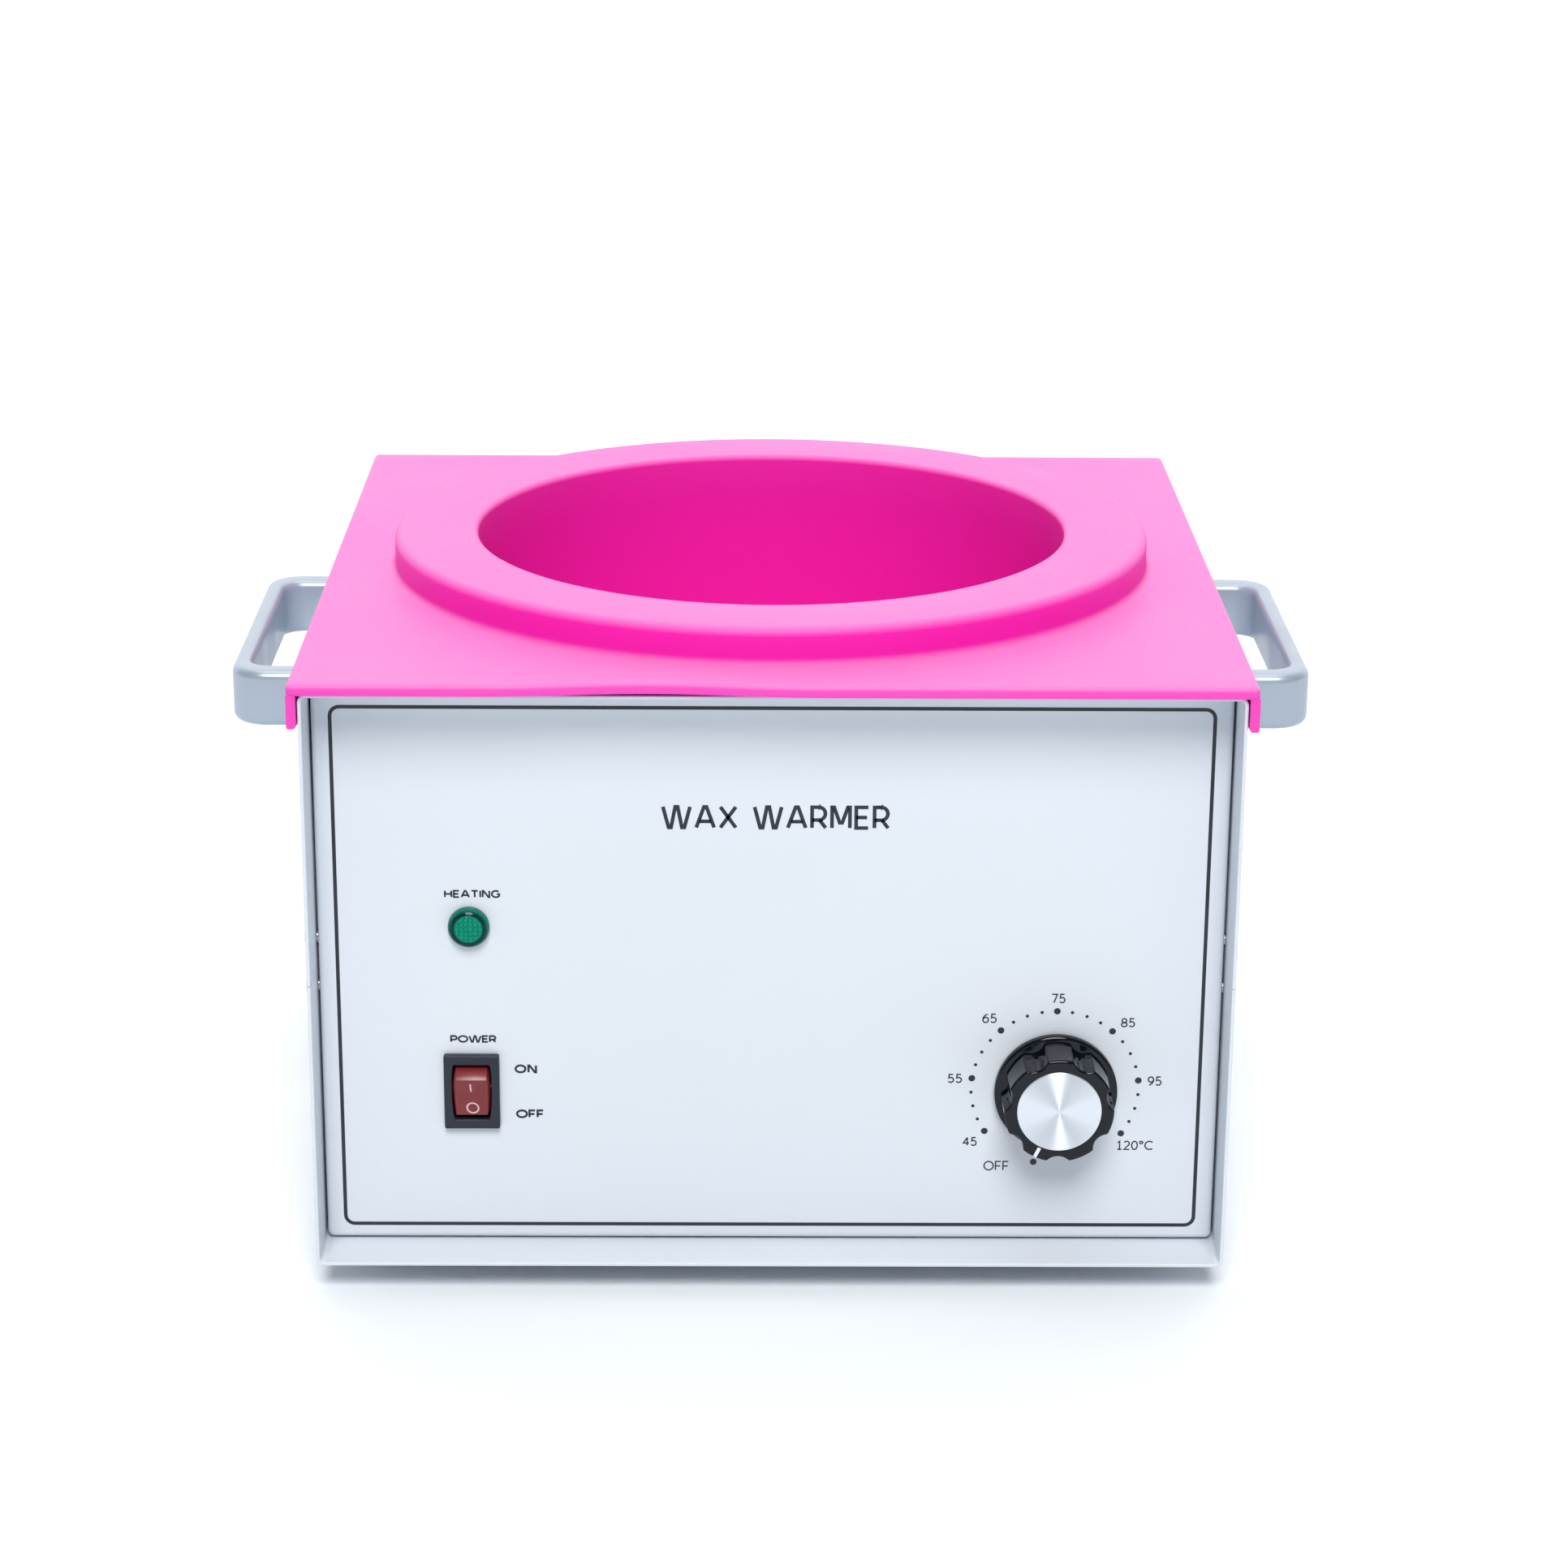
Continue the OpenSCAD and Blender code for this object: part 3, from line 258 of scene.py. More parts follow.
def spun_cap():
    """Turned aluminium: fine rings round the knob's axis."""
    s = Shader("cap_aluminium", (0.80, 0.85, 0.91), rough=0.36, metallic=1.0, Anisotropic=0.95)
    moved, distance = s.about("knob_cap")
    rings = s.node("ShaderNodeTexNoise", noise_dimensions="1D")
    rings.inputs["Scale"].default_value = 9000
    rings.inputs["Detail"].default_value = 2
    s.link(distance, rings.inputs["W"])
    s.bump(rings.outputs["Fac"], 0.004)
    # The grain runs round the axis, so reflections spread along the radius
    unit = s.node("ShaderNodeVectorMath", operation="NORMALIZE")
    s.link(moved, unit.inputs[0])
    s.link(unit.outputs["Vector"], s.bsdf.inputs["Tangent"])
    return s.material


def plastic(name, color, rough=0.35, coat=0.0, scale=1400, depth=0.006, **sockets):
    s = Shader(name, color, rough=rough, Coat_Weight=coat, Coat_Roughness=0.06, **sockets)
    s.tint(25, 0.06)
    s.uneven(60, min(0.05, rough / 2))
    return s.grain(scale, depth).material


def fibre(name, color):
    s = Shader(name, color, rough=0.95, Sheen_Weight=0.3)
    s.tint(260, 0.18, detail=6)
    return s.grain(700, 0.25, detail=6).material


def lamp_green():
    """Clear green plastic, with painted light: a lighter centre and outer rim where light comes through,
    and a painted dark ring between them, where nothing white stands behind it.
    """
    s = Shader("lamp_green", (0.0, 0.22, 0.13), rough=0.10, Specular_IOR_Level=0.2)
    distance = s.about("lamp_lens")[1]
    painted_glow_bands = ((0.0, 0.26, 0.155), (0.0, 0.030, 0.030), (0.0, 0.030, 0.030), (0.005, 0.17, 0.12))
    # Painted light and shade in the base colour, by distance from the lens axis: lighter centre, dark ring,
    # lighter outer rim.
    edge = s.ramp(s.rise(distance, 0.0035, 0.0060), painted_glow_bands, (0.12, 0.24, 0.48, 0.72))
    s.link(edge, s.bsdf.inputs["Base Color"])
    return s.grain(1400, 0.001).material


FINISH = {
    "white_powder_coat": powder_coat(),
    "handle_silver": silver_coat(),
    "pink_silicone": pink_silicone(),
    "well_aluminium": metal("well_aluminium", (0.78, 0.79, 0.81), 0.30, stretch=(1, 1, 20)),
    "zinc_steel": metal("zinc_steel", (0.70, 0.72, 0.75), 0.28, stretch=(1, 1, 1)),
    "shield_steel": metal("shield_steel", (0.66, 0.68, 0.70), 0.38),
    "black_rubber": plastic("black_rubber", (0.022, 0.022, 0.025), 0.75, depth=0.02),
    "knob_black": plastic(
        "knob_black", (0.003, 0.005, 0.011), 0.05, depth=0.001, Specular_IOR_Level=0.32,
    ),
    "cap_aluminium": spun_cap(),
    "mark_white": plastic("mark_white", (0.90, 0.91, 0.93), 0.4),
    "switch_black": plastic(
        "switch_black", (0.016, 0.022, 0.038), 0.36, depth=0.010, Specular_IOR_Level=0.35,
    ),
    "switch_red": plastic(
        "switch_red", (0.21, 0.018, 0.021), 0.30, Subsurface_Weight=0.3,
        Subsurface_Radius=(0.003, 0.0004, 0.0004), Subsurface_Scale=1.0,
    ),
    "lamp_green": lamp_green(),
    "white_plastic": plastic("white_plastic", (0.86, 0.86, 0.82), 0.45),
    "neon_glass": plastic("neon_glass", (0.95, 0.55, 0.30), 0.05, Transmission_Weight=0.6),
    "brass_plain": metal("brass_plain", (0.78, 0.60, 0.30), 0.30),
    "copper_plain": metal("copper_plain", (0.80, 0.46, 0.30), 0.32),
    "heater_mica": metal("heater_mica", (0.58, 0.55, 0.48), 0.48),
    "ceramic_cream": plastic("ceramic_cream", (0.80, 0.76, 0.66), 0.55, depth=0.02),
    "glass_fibre": fibre("glass_fibre", (0.84, 0.81, 0.70)),
    "gasket_silicone": plastic("gasket_silicone", (0.78, 0.76, 0.72), 0.6, depth=0.02),
    "wire_brown": plastic("wire_brown", (0.20, 0.08, 0.04), 0.4),
    "wire_blue": plastic("wire_blue", (0.03, 0.10, 0.45), 0.4),
    "wire_green": plastic("wire_green", (0.12, 0.40, 0.06), 0.4),
    "wire_white": fibre("wire_white", (0.80, 0.80, 0.76)),
    "wire_black": plastic("wire_black", (0.02, 0.02, 0.022), 0.4),
}
PRINT_INK = plastic("panel_ink", (0.014, 0.018, 0.030), 0.5)
ROCKER_INK = plastic("rocker_ink", (0.74, 0.50, 0.52), 0.4)


# ---------------------------------------------------------------- mesh tools
def build(name, shape, finish, body, replaced=(), sharp=32):
    """Makes a piece from (points in millimetres, faces)."""
    points, faces = shape
    mesh = bpy.data.meshes.new(name)
    mesh.from_pydata([Vector(p) * MM for p in points], [], faces)
    bm = bmesh.new()
    bm.from_mesh(mesh)
    bmesh.ops.remove_doubles(bm, verts=bm.verts, dist=1e-6)
    bmesh.ops.dissolve_degenerate(bm, edges=bm.edges, dist=1e-7)
    bmesh.ops.recalc_face_normals(bm, faces=bm.faces)
    for face in bm.faces:
        face.smooth = True
    for edge in bm.edges:
        edge.smooth = len(edge.link_faces) == 2 and edge.calc_face_angle(0) < math.radians(sharp)
    bm.to_mesh(mesh)
    bm.free()
    obj = bpy.data.objects.new(name, mesh)
    bpy.context.scene.collection.objects.link(obj)
    mesh.materials.append(finish)
    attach(obj, body)
    if replaced:
        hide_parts(*replaced)
    return obj


def joined(*shapes):
    """Several (points, faces) shapes as one."""
    points, faces = [], []
    for more_points, more_faces in shapes:
        start = len(points)
        points += more_points
        faces += [tuple(i + start for i in f) for f in more_faces]
    return points, faces


def loft(rings, closed=True, first_cap=False, last_cap=False):
    """Skins rings that have the same number of points."""
    n = len(rings[0])
    points = [p for ring in rings for p in ring]
    faces = []
    for i in range(len(rings) - 1):
        for k in range(n if closed else n - 1):
            a, b = i * n + k, i * n + (k + 1) % n
            faces.append((a, b, b + n, a + n))
    if first_cap:
        faces.append(tuple(range(n)))
    if last_cap:
        faces.append(tuple(range((len(rings) - 1) * n, len(rings) * n)))
    return points, faces


def placed(shape, place):
    points, faces = shape
    return [place(*p) for p in points], faces


def arc(cx, cy, r, start, end, steps):
    """Points on an arc, with angles in degrees."""
    angles = [math.radians(start + (end - start) * i / steps) for i in range(steps + 1)]
    return [(cx + r * math.cos(a), cy + r * math.sin(a)) for a in angles]


def round_box(w, h, r, cx=0, cy=0, steps=6):
    """Anticlockwise outline of a rectangle with rounded corners."""
    out = []
    for sx, sy, start in ((1, 1, 0), (-1, 1, 90), (-1, -1, 180), (1, -1, 270)):
        out += arc(cx + sx * (w / 2 - r), cy + sy * (h / 2 - r), r, start, start + 90, steps)
    return out


def circle(r, n=96, cx=0, cy=0):
    return arc(cx, cy, r, 0, 360 * (n - 1) / n, n - 1)


def shrunk(loop, d):
    """The anticlockwise outline moved inwards by d."""
    out = []
    n = len(loop)
    for i, (x, y) in enumerate(loop):
        ax, ay = loop[i - 1]
        bx, by = loop[(i + 1) % n]
        e1 = Vector((x - ax, y - ay))
        e2 = Vector((bx - x, by - y))
        e1 = e1.normalized() if e1.length > 1e-6 else e2.normalized()
        e2 = e2.normalized() if e2.length > 1e-6 else e1
        inward = Vector((-e1.y - e2.y, e1.x + e2.x))
        cos_half = max(0.35, inward.length / 2)
        inward = inward.normalized() * d / cos_half
        out.append((x + inward.x, y + inward.y))
    return out


def edge_rings(loop, w0, w1, r0, r1, hole, steps=3):
    """Rings up the side of a prism, rounded by r0 at w0 and by r1 at w1."""
    levels = []
    for i in range(steps + 1):
        a = math.pi / 2 * i / steps
        levels.append((r0 * (1 - math.sin(a)), w0 + r0 * (1 - math.cos(a))))
    for i in range(steps + 1):
        a = math.pi / 2 * i / steps
        levels.append((r1 * (1 - math.cos(a)), w1 - r1 * (1 - math.sin(a))))
    sign = -1 if hole else 1
    return [[(u, v, w) for u, v in shrunk(loop, sign * inset)] for inset, w in levels]


def prism(outer, w0, w1, r0=0.0, r1=0.0, holes=(), hole_r=0.0):
    """Solid between two planes with rounded edges. All outlines run anticlockwise."""
    parts = []
    first, last = [], []
    for loop, is_hole in [(outer, False)] + [(h, True) for h in holes]:
        low, high = (hole_r, hole_r) if is_hole else (r0, r1)
        rings = edge_rings(loop, w0, w1, low, high, is_hole)
        parts.append(loft(rings))
        first.append(rings[0])
        last.append(rings[-1])
    for loops in (first, last):
        flat = [p for loop in loops for p in loop]
        faces = tessellate_polygon([[Vector(p) for p in loop] for loop in loops])
        parts.append((flat, [tuple(f) for f in faces]))
    return joined(*parts)


def lathe(profile, n=96, capped=True):
    """Turns (radius, w) points about the w axis."""
    rings = []
    turns = [2 * math.pi * k / n for k in range(n)]
    for r, w in profile:
        rings.append([(r * math.cos(a), r * math.sin(a), w) for a in turns])
    return loft(rings, first_cap=capped, last_cap=capped)


def bow(cx, cy, rx, ry, start, end, steps=14):
    """Points on part of an ellipse, with angles in degrees."""
    return [(cx + rx * x, cy + ry * y) for x, y in arc(0, 0, 1, start, end, steps)]


def half_turn(strokes, w):
    return [(closed, [(w - x, 1 - y) for x, y in points]) for closed, points in strokes]


def line(*points):
    return (False, list(points))


def ring(cx, cy, rx, ry):
    return (True, bow(cx, cy, rx, ry, 0, 345, 23))


# Plain upright lettering: width, then strokes on a height of 1
P_BOWL = [(0, 0), (0, 1), (0.33, 1), *bow(0.33, 0.69, 0.31, 0.31, 90, -90), (0, 0.38)]
SIX = [ring(0.28, 0.31, 0.27, 0.31), line(*bow(0.62, 0.33, 0.61, 0.68, 180, 105))]
GLYPHS = {
    "A": (0.86, [line((0, 0), (0.37, 1), (0.49, 1), (0.86, 0)), line((0.15, 0.3), (0.71, 0.3))]),
    "C": (0.82, [line(*bow(0.46, 0.5, 0.46, 0.5, 48, 312))]),
    "E": (0.58, [line((0.58, 1), (0, 1), (0, 0), (0.58, 0)), line((0, 0.51), (0.52, 0.51))]),
    "F": (0.56, [line((0, 0), (0, 1), (0.56, 1)), line((0, 0.47), (0.5, 0.47))]),
    "G": (0.84, [line(*bow(0.46, 0.5, 0.46, 0.5, 48, 322), (0.84, 0.48), (0.56, 0.48))]),
    "H": (0.72, [line((0, 0), (0, 1)), line((0.72, 0), (0.72, 1)), line((0, 0.5), (0.72, 0.5))]),
    "I": (0.0, [line((0, 0), (0, 1))]),
    "M": (
        0.86,
        [line((0, 0), (0, 1), (0.1, 1), (0.37, 0.25), (0.49, 0.25), (0.76, 1), (0.86, 1), (0.86, 0))],
    ),
    "N": (0.74, [line((0, 0), (0, 1), (0.1, 1), (0.64, 0), (0.74, 0), (0.74, 1))]),
    "O": (0.98, [ring(0.49, 0.5, 0.49, 0.5)]),
    "P": (0.64, [line(*P_BOWL)]),
    "R": (0.66, [line(*P_BOWL), line((0.36, 0.38), (0.66, 0))]),
    "T": (0.70, [line((0, 1), (0.7, 1)), line((0.35, 0), (0.35, 1))]),
    "W": (1.30, [line((0, 1), (0.27, 0), (0.39, 0), (0.59, 1), (0.71, 1), (0.91, 0), (1.03, 0), (1.3, 1))]),
    "X": (0.74, [line((0, 0), (0.74, 1)), line((0, 1), (0.74, 0))]),
    "0": (0.56, [ring(0.28, 0.5, 0.28, 0.5)]),
    "1": (0.42, [line((0, 0.82), (0.22, 1), (0.22, 0)), line((0, 0), (0.42, 0))]),
    "2": (0.54, [line(*bow(0.26, 0.72, 0.26, 0.28, 155, -35), (0, 0), (0.54, 0))]),
    "4": (0.60, [line((0.42, 0), (0.42, 1)), line((0.42, 1), (0, 0.3), (0.6, 0.3))]),
    "5": (0.54, [line((0.48, 1), (0.09, 1), (0.06, 0.55), *bow(0.24, 0.31, 0.28, 0.31, 110, -145))]),
    "6": (0.56, SIX),
    "7": (0.54, [line((0, 1), (0.54, 1), (0.2, 0))]),
    "8": (0.56, [ring(0.28, 0.75, 0.23, 0.25), ring(0.28, 0.25, 0.28, 0.25)]),
    "9": (0.56, half_turn(SIX, 0.56)),
    "°": (0.30, [ring(0.15, 0.85, 0.15, 0.15)]),
    " ": (0.30, []),
}
LONGEST_MITRE = 2.0


def stroke(points, width, closed, w0, w1):
    """A ribbon of print along the points."""
    n = len(points)
    half = width / 2
    rings = []
    for i in range(n):
        before = Vector(points[i - 1]) if closed or i else None
        here = Vector(points[i])
        after = Vector(points[(i + 1) % n]) if closed or i < n - 1 else None
        d1 = (here - before).normalized() if before else (after - here).normalized()
        d2 = (after - here).normalized() if after else d1
        side = Vector((-d1.y, d1.x))
        out = (side + Vector((-d2.y, d2.x))).normalized()
        reach = out * half * min(LONGEST_MITRE, 1 / max(0.2, out.dot(side)))
        left, right = here + reach, here - reach
        rings.append([(*left, w0), (*right, w0), (*right, w1), (*left, w1)])
    if closed:
        return loft(rings + rings[:1])
    return loft(rings, first_cap=True, last_cap=True)


def words(text, u0, u1, v0, v1, width, gap=0.2, thick=0.03):
    """Lettering that fills a box, as raised print with strokes of one width."""
    pen = 0.0
    strokes = []
    for letter in text:
        advance, parts = GLYPHS[letter]
        for closed, points in parts:
            strokes.append((closed, [(x + pen, y) for x, y in points]))
        pen += advance + gap
    half = width / 2
    wide = (u1 - u0 - width) / (pen - gap)
    tall = v1 - v0 - width
    shapes = []
    for closed, points in strokes:
        points = [(u0 + half + x * wide, v0 + half + y * tall) for x, y in points]
        shapes.append(stroke(points, width, closed, 0, thick))
    return joined(*shapes)


def pan(width, z0, z1, holes, depth=15.0, thick=1.0, bend=1.5, corner=1.8, rim=0.1):
    """A sheet-metal panel with flanges behind all its edges, facing +w, its face at w 0."""
    outer = round_box(width, z1 - z0, corner, 0, (z0 + z1) / 2)
    quarter = [math.pi / 8 * i for i in range(5)]
    levels = [(bend * (1 - math.sin(a)), -bend * (1 - math.cos(a))) for a in quarter]
    levels += [(0, -depth + rim), (rim, -depth), (thick - rim, -depth), (thick, -depth + rim)]
    levels += [(thick, -bend), (bend, -thick)]
    rings = [[(u, v, w) for u, v in shrunk(outer, inset)] for inset, w in levels]
    parts = [loft(rings)]
    for hole in holes:
        parts.append(loft([[(u, v, w) for u, v in hole] for w in (0, -thick)]))
    for edge, w in ((rings[0], 0), (rings[-1], -thick)):
        loops = [edge] + [[(u, v, w) for u, v in hole] for hole in holes]
        faces = tessellate_polygon([[Vector(q) for q in loop] for loop in loops])
        parts.append(([q for loop in loops for q in loop], [tuple(f) for f in faces]))
    return joined(*parts)


def soften(node, width, segments=2):
    """Rounds the sharp edges of a CAD node with modifiers, leaving its mesh alone."""
    obj = nodes[node]
    weld = obj.modifiers.new("weld", "WELD")
    weld.merge_threshold = 1e-5
    flats = obj.modifiers.new("flats", "DECIMATE")
    flats.decimate_type = "DISSOLVE"
    flats.angle_limit = math.radians(0.5)
    bevel = obj.modifiers.new("bevel", "BEVEL")
    bevel.width = width * MM
    bevel.segments = segments
    bevel.limit_method = "ANGLE"
    bevel.angle_limit = math.radians(40)
    bevel.use_clamp_overlap = False
    bevel.harden_normals = True
    return obj


# ---------------------------------------------------------------- shared places
panel_low, panel_high = box_mm("front_panel")
PANEL_Y = panel_low.y
CASE_TOP = box_mm("top_cover")[1].z


def on_front(cx, cz):
    """Places (right, up, outwards) on the front panel about a point."""
    return lambda u, v, w: (cx + u, PANEL_Y - w, cz + v)


BUSH_HOLE_R = 5.15
LAMP_HOLE_R = 4.15
SWITCH_HOLE = (13.3, 19.3, 0.3)
INLET_HOLE = (27.4, 20.4, 0.3)
INLET_SCREW_HOLE_R = 1.65
INLET_SCREW_X = 20.0
SLOT = (4.0, 34.0, 1.9)
SLOTS = 9
SLOT_PITCH = 11.0
SLOTS_X = 30.0
SLOTS_Z = CASE_TOP - 44.0


def front_holes():
    dial = middle("thermostat_nut")
    switch = middle("switch_housing")
    lamp = middle("lamp_lens")
    return [
        circle(BUSH_HOLE_R, 48, dial.x, dial.z),
        circle(LAMP_HOLE_R, 48, lamp.x, lamp.z),
        round_box(*SWITCH_HOLE, switch.x, switch.z),
    ]


def rear_holes():
    """Holes as seen from behind, so across runs towards -X."""
    inlet = middle("inlet_housing")
    holes = [round_box(*INLET_HOLE, -inlet.x, inlet.z)]
    for side in (-1, 1):
        holes.append(circle(INLET_SCREW_HOLE_R, 24, -inlet.x + side * INLET_SCREW_X, inlet.z))
    for i in range(SLOTS):
        across = SLOTS_X + (i - (SLOTS - 1) / 2) * SLOT_PITCH
        holes.append(round_box(*SLOT, across, SLOTS_Z))
    return holes


def build_panel(name, node, face_y, sign, holes):
    """A panel that faces along sign * Y, with its holes given as seen from outside."""
    sheet = pan(panel_high.x - panel_low.x, panel_low.z, panel_high.z, holes)
    shape = placed(sheet, lambda u, v, w: (-sign * u, face_y + sign * w, v))
    build(name, shape, FINISH["white_powder_coat"], "casing", [node])


build_panel("front_face", "front_panel", PANEL_Y, -1, front_holes())
build_panel("rear_face", "rear_panel", box_mm("rear_panel")[1].y, 1, rear_holes())


# ---------------------------------------------------------------- silicone liner
liner_low, liner_high = box_mm("silicone_liner")
PLATE_T = 3.0
PLATE_TOP = CASE_TOP + PLATE_T
RING_TOP = liner_high.z
RING_R = 107.8
BOWL_R = 84.0
BOWL_WALL = 3.0
BOWL_FLOOR = liner_low.z + BOWL_WALL
BOWL_CORNER = 18.0
BOWL_BOTTOM_R = 81.0
CENTRE_R = 0.5
MOUTH_EDGE_R = 1.8
RING_EDGE_R = 2.6
RECESS_R = 106.1
RECESS_H = 5.0
NECK_R = 87.0
PLATE_CORNER_R = 1.6
FLAP_T = 2.5
FLAP_BOTTOM = PLATE_TOP - 12.0
FLAP_CHAMFER = 0.6
TOP_EDGE_R = 1.3
HALF_X = liner_high.x
HALF_Y = liner_high.y
BULGE_FROM, BULGE_TO = -76.0, 12.0
BULGE_H = 1.0
BULGE_REACH = 26.0


def bulge(x, y):
    """How far the plate's front edge stands up off the casing, left of the middle."""
    if not BULGE_FROM < x < BULGE_TO:
        return 0.0
    along = math.sin(math.pi * (x - BULGE_FROM) / (BULGE_TO - BULGE_FROM)) ** 2
    back = max(0.0, 1 - (y + HALF_Y) / BULGE_REACH)
    return BULGE_H * along * back * back * (3 - 2 * back)


def plate_outline(inset, corner_r):
    """The plate's outline from its middle-right point, always with the same number of points."""
    hx, hy = HALF_X - inset, HALF_Y - inset
    r = max(0.05, corner_r - inset)
    per_side = 60
    out = []
    corners = ((1, 1, 0), (-1, 1, 90), (-1, -1, 180), (1, -1, 270))
    ends = []
    for sx, sy, start in corners:
        ends.append(arc(sx * (hx - r), sy * (hy - r), r, start, start + 90, 6))
    for i, corner in enumerate(ends):
        out += corner
        ax, ay = corner[-1]
        bx, by = ends[(i + 1) % 4][0]
        for k in range(1, per_side):
            t = k / per_side
            out.append((ax + (bx - ax) * t, ay + (by - ay) * t))
    return out


def silicone_liner():
    outline = plate_outline(0, PLATE_CORNER_R)
    n = len(outline)
    angles = [math.atan2(y, x) for x, y in outline]

    def ring_at(r, z):
        return [(r * math.cos(a), r * math.sin(a), z) for a in angles]

    rings = [ring_at(CENTRE_R, BOWL_FLOOR), ring_at(30, BOWL_FLOOR)]
    corner_x = BOWL_BOTTOM_R - BOWL_CORNER
    for r, z in arc(corner_x, BOWL_FLOOR + BOWL_CORNER, BOWL_CORNER, -90, 0, 14):
        rings.append(ring_at(r, z))
    mouth_z = RING_TOP - MOUTH_EDGE_R
    for i in range(1, 9):
        t = i / 9
        z = BOWL_FLOOR + BOWL_CORNER + (mouth_z - BOWL_FLOOR - BOWL_CORNER) * t
        rings.append(ring_at(BOWL_BOTTOM_R + (BOWL_R - BOWL_BOTTOM_R) * t, z))
    for r, z in arc(BOWL_R + MOUTH_EDGE_R, mouth_z, MOUTH_EDGE_R, 180, 90, 6):
        rings.append(ring_at(r, z))
    rings.append(ring_at((BOWL_R + RING_R) / 2, RING_TOP - 0.05))
    for r, z in arc(RING_R - RING_EDGE_R, RING_TOP - RING_EDGE_R, RING_EDGE_R, 90, 0, 8):
        rings.append(ring_at(r, z))
    rings.append(ring_at(RING_R, PLATE_TOP + 3.5))
    base_r = 2.0
    for r, z in arc(RING_R + base_r, PLATE_TOP + base_r, base_r, 180, 270, 6):
        rings.append(ring_at(r, z))
    start = [p[:2] for p in rings[-1]]
    inner_edge = plate_outline(TOP_EDGE_R, PLATE_CORNER_R)
    for i in range(1, 9):
        t = i / 8
        ring = []
        for (sx, sy), (ex, ey) in zip(start, inner_edge):
            x, y = sx + (ex - sx) * t, sy + (ey - sy) * t
            ring.append((x, y, PLATE_TOP + bulge(x, y)))
        rings.append(ring)
    for cos, sin in arc(0, 0, 1, 72, 0, 4):
        edge = plate_outline(TOP_EDGE_R * (1 - cos), PLATE_CORNER_R)
        edge_z = PLATE_TOP - TOP_EDGE_R * (1 - sin)
        rings.append([(x, y, edge_z + bulge(x, y)) for x, y in edge])
    rings.append([(x, y, CASE_TOP + bulge(x, y)) for x, y in outline])
    # Underside: in from the edge to the recess over the well's flange, then down outside the bowl
    flap_x = HALF_X - FLAP_T

    def under(x, y):
        if abs(x) > flap_x - 0.01:
            return (math.copysign(flap_x, x), max(-HALF_Y, min(HALF_Y, y)), CASE_TOP)
        return (x, math.copysign(HALF_Y - 4, y), CASE_TOP + bulge(x, y))

    rings.append([under(x, y) for x, y in outline])
    for r, depth in ((RECESS_R, 0), (RECESS_R, RECESS_H), (NECK_R, RECESS_H), (NECK_R, 0)):
        rings.append(ring_at(r, CASE_TOP + depth))
    outer_corner = BOWL_CORNER + BOWL_WALL
    corner_z = liner_low.z + outer_corner
    for r, z in arc(BOWL_BOTTOM_R + BOWL_WALL - outer_corner, corner_z, outer_corner, 0, -90, 8):
        rings.append(ring_at(r, z))
    rings.append(ring_at(CENTRE_R, liner_low.z))
    body = loft(rings, first_cap=True, last_cap=True)
    return joined(body, flap(1), flap(-1))


def flap(side):
    """The strip that hangs down one side of the casing, closed at its ends and open into the plate."""
    outer_x, inner_x = HALF_X, HALF_X - FLAP_T
    r = 0.5
    section = [
        (inner_x, CASE_TOP + 0.2),
        (inner_x, FLAP_BOTTOM + FLAP_CHAMFER),
        (inner_x + FLAP_CHAMFER, FLAP_BOTTOM),
        (outer_x - r, FLAP_BOTTOM),
        (outer_x - 0.15, FLAP_BOTTOM + 0.15),
        (outer_x, FLAP_BOTTOM + r),
        (outer_x, CASE_TOP),
        (outer_x - 0.4, CASE_TOP + 0.2),
    ]
    rings = []
    steps = 24
    for i in range(steps + 1):
        y = -HALF_Y + 2 * HALF_Y * i / steps
        rings.append([(side * x, y, z) for x, z in section])
    return loft(rings, first_cap=True, last_cap=True)


liner_parts = silicone_liner()
build("liner", liner_parts, FINISH["pink_silicone"], "liner", ["silicone_liner"], 40)


# ---------------------------------------------------------------- handles
def handle_shape(node, side):
    low, high = box_mm(node)
    reach = high.x - low.x
    half = high.y
    mid_z = (low.z + high.z) / 2
    height = high.z - low.z
    wall = min(abs(low.x), abs(high.x))
    arm_t, grip_t, out_r, in_r = 8.2, 5.3, 10.0, 6.0
    edge_r = 2.4

    def path(offset_x, half_y, r):
        points = []
        start = arc(offset_x - r, -half_y + r, r, -90, 0, 10)
        end = arc(offset_x - r, half_y - r, r, 0, 90, 10)
        for i in range(8):
            points.append((start[0][0] * i / 8, -half_y))
        points += start
        for i in range(1, 16):
            t = i / 16
            points.append((offset_x, start[-1][1] + (end[0][1] - start[-1][1]) * t))
        points += end
        for i in range(1, 9):
            points.append((end[-1][0] * (1 - i / 8), half_y))
        return points

    outer = path(reach, half, out_r)
    inner = path(reach - grip_t, half - arm_t, in_r)
    rings = []
    for (ox, oy), (ix, iy) in zip(outer, inner):
        across = Vector((ix - ox, iy - oy))
        t = across.length
        across.normalize()
        r = min(edge_r, t / 2 - 0.1)
        ring = []
        for u, v in round_box(t, height, r, t / 2, 0, 6):
            ring.append((side * (wall + ox + across.x * u), oy + across.y * u, mid_z + v))
        rings.append(ring)
    return loft(rings, first_cap=True, last_cap=True)


for node, side in (("handle_left", -1), ("handle_right", 1)):
    grip = handle_shape(node, side)
    build(node + "_grip", grip, FINISH["handle_silver"], "casing", [node], 40)


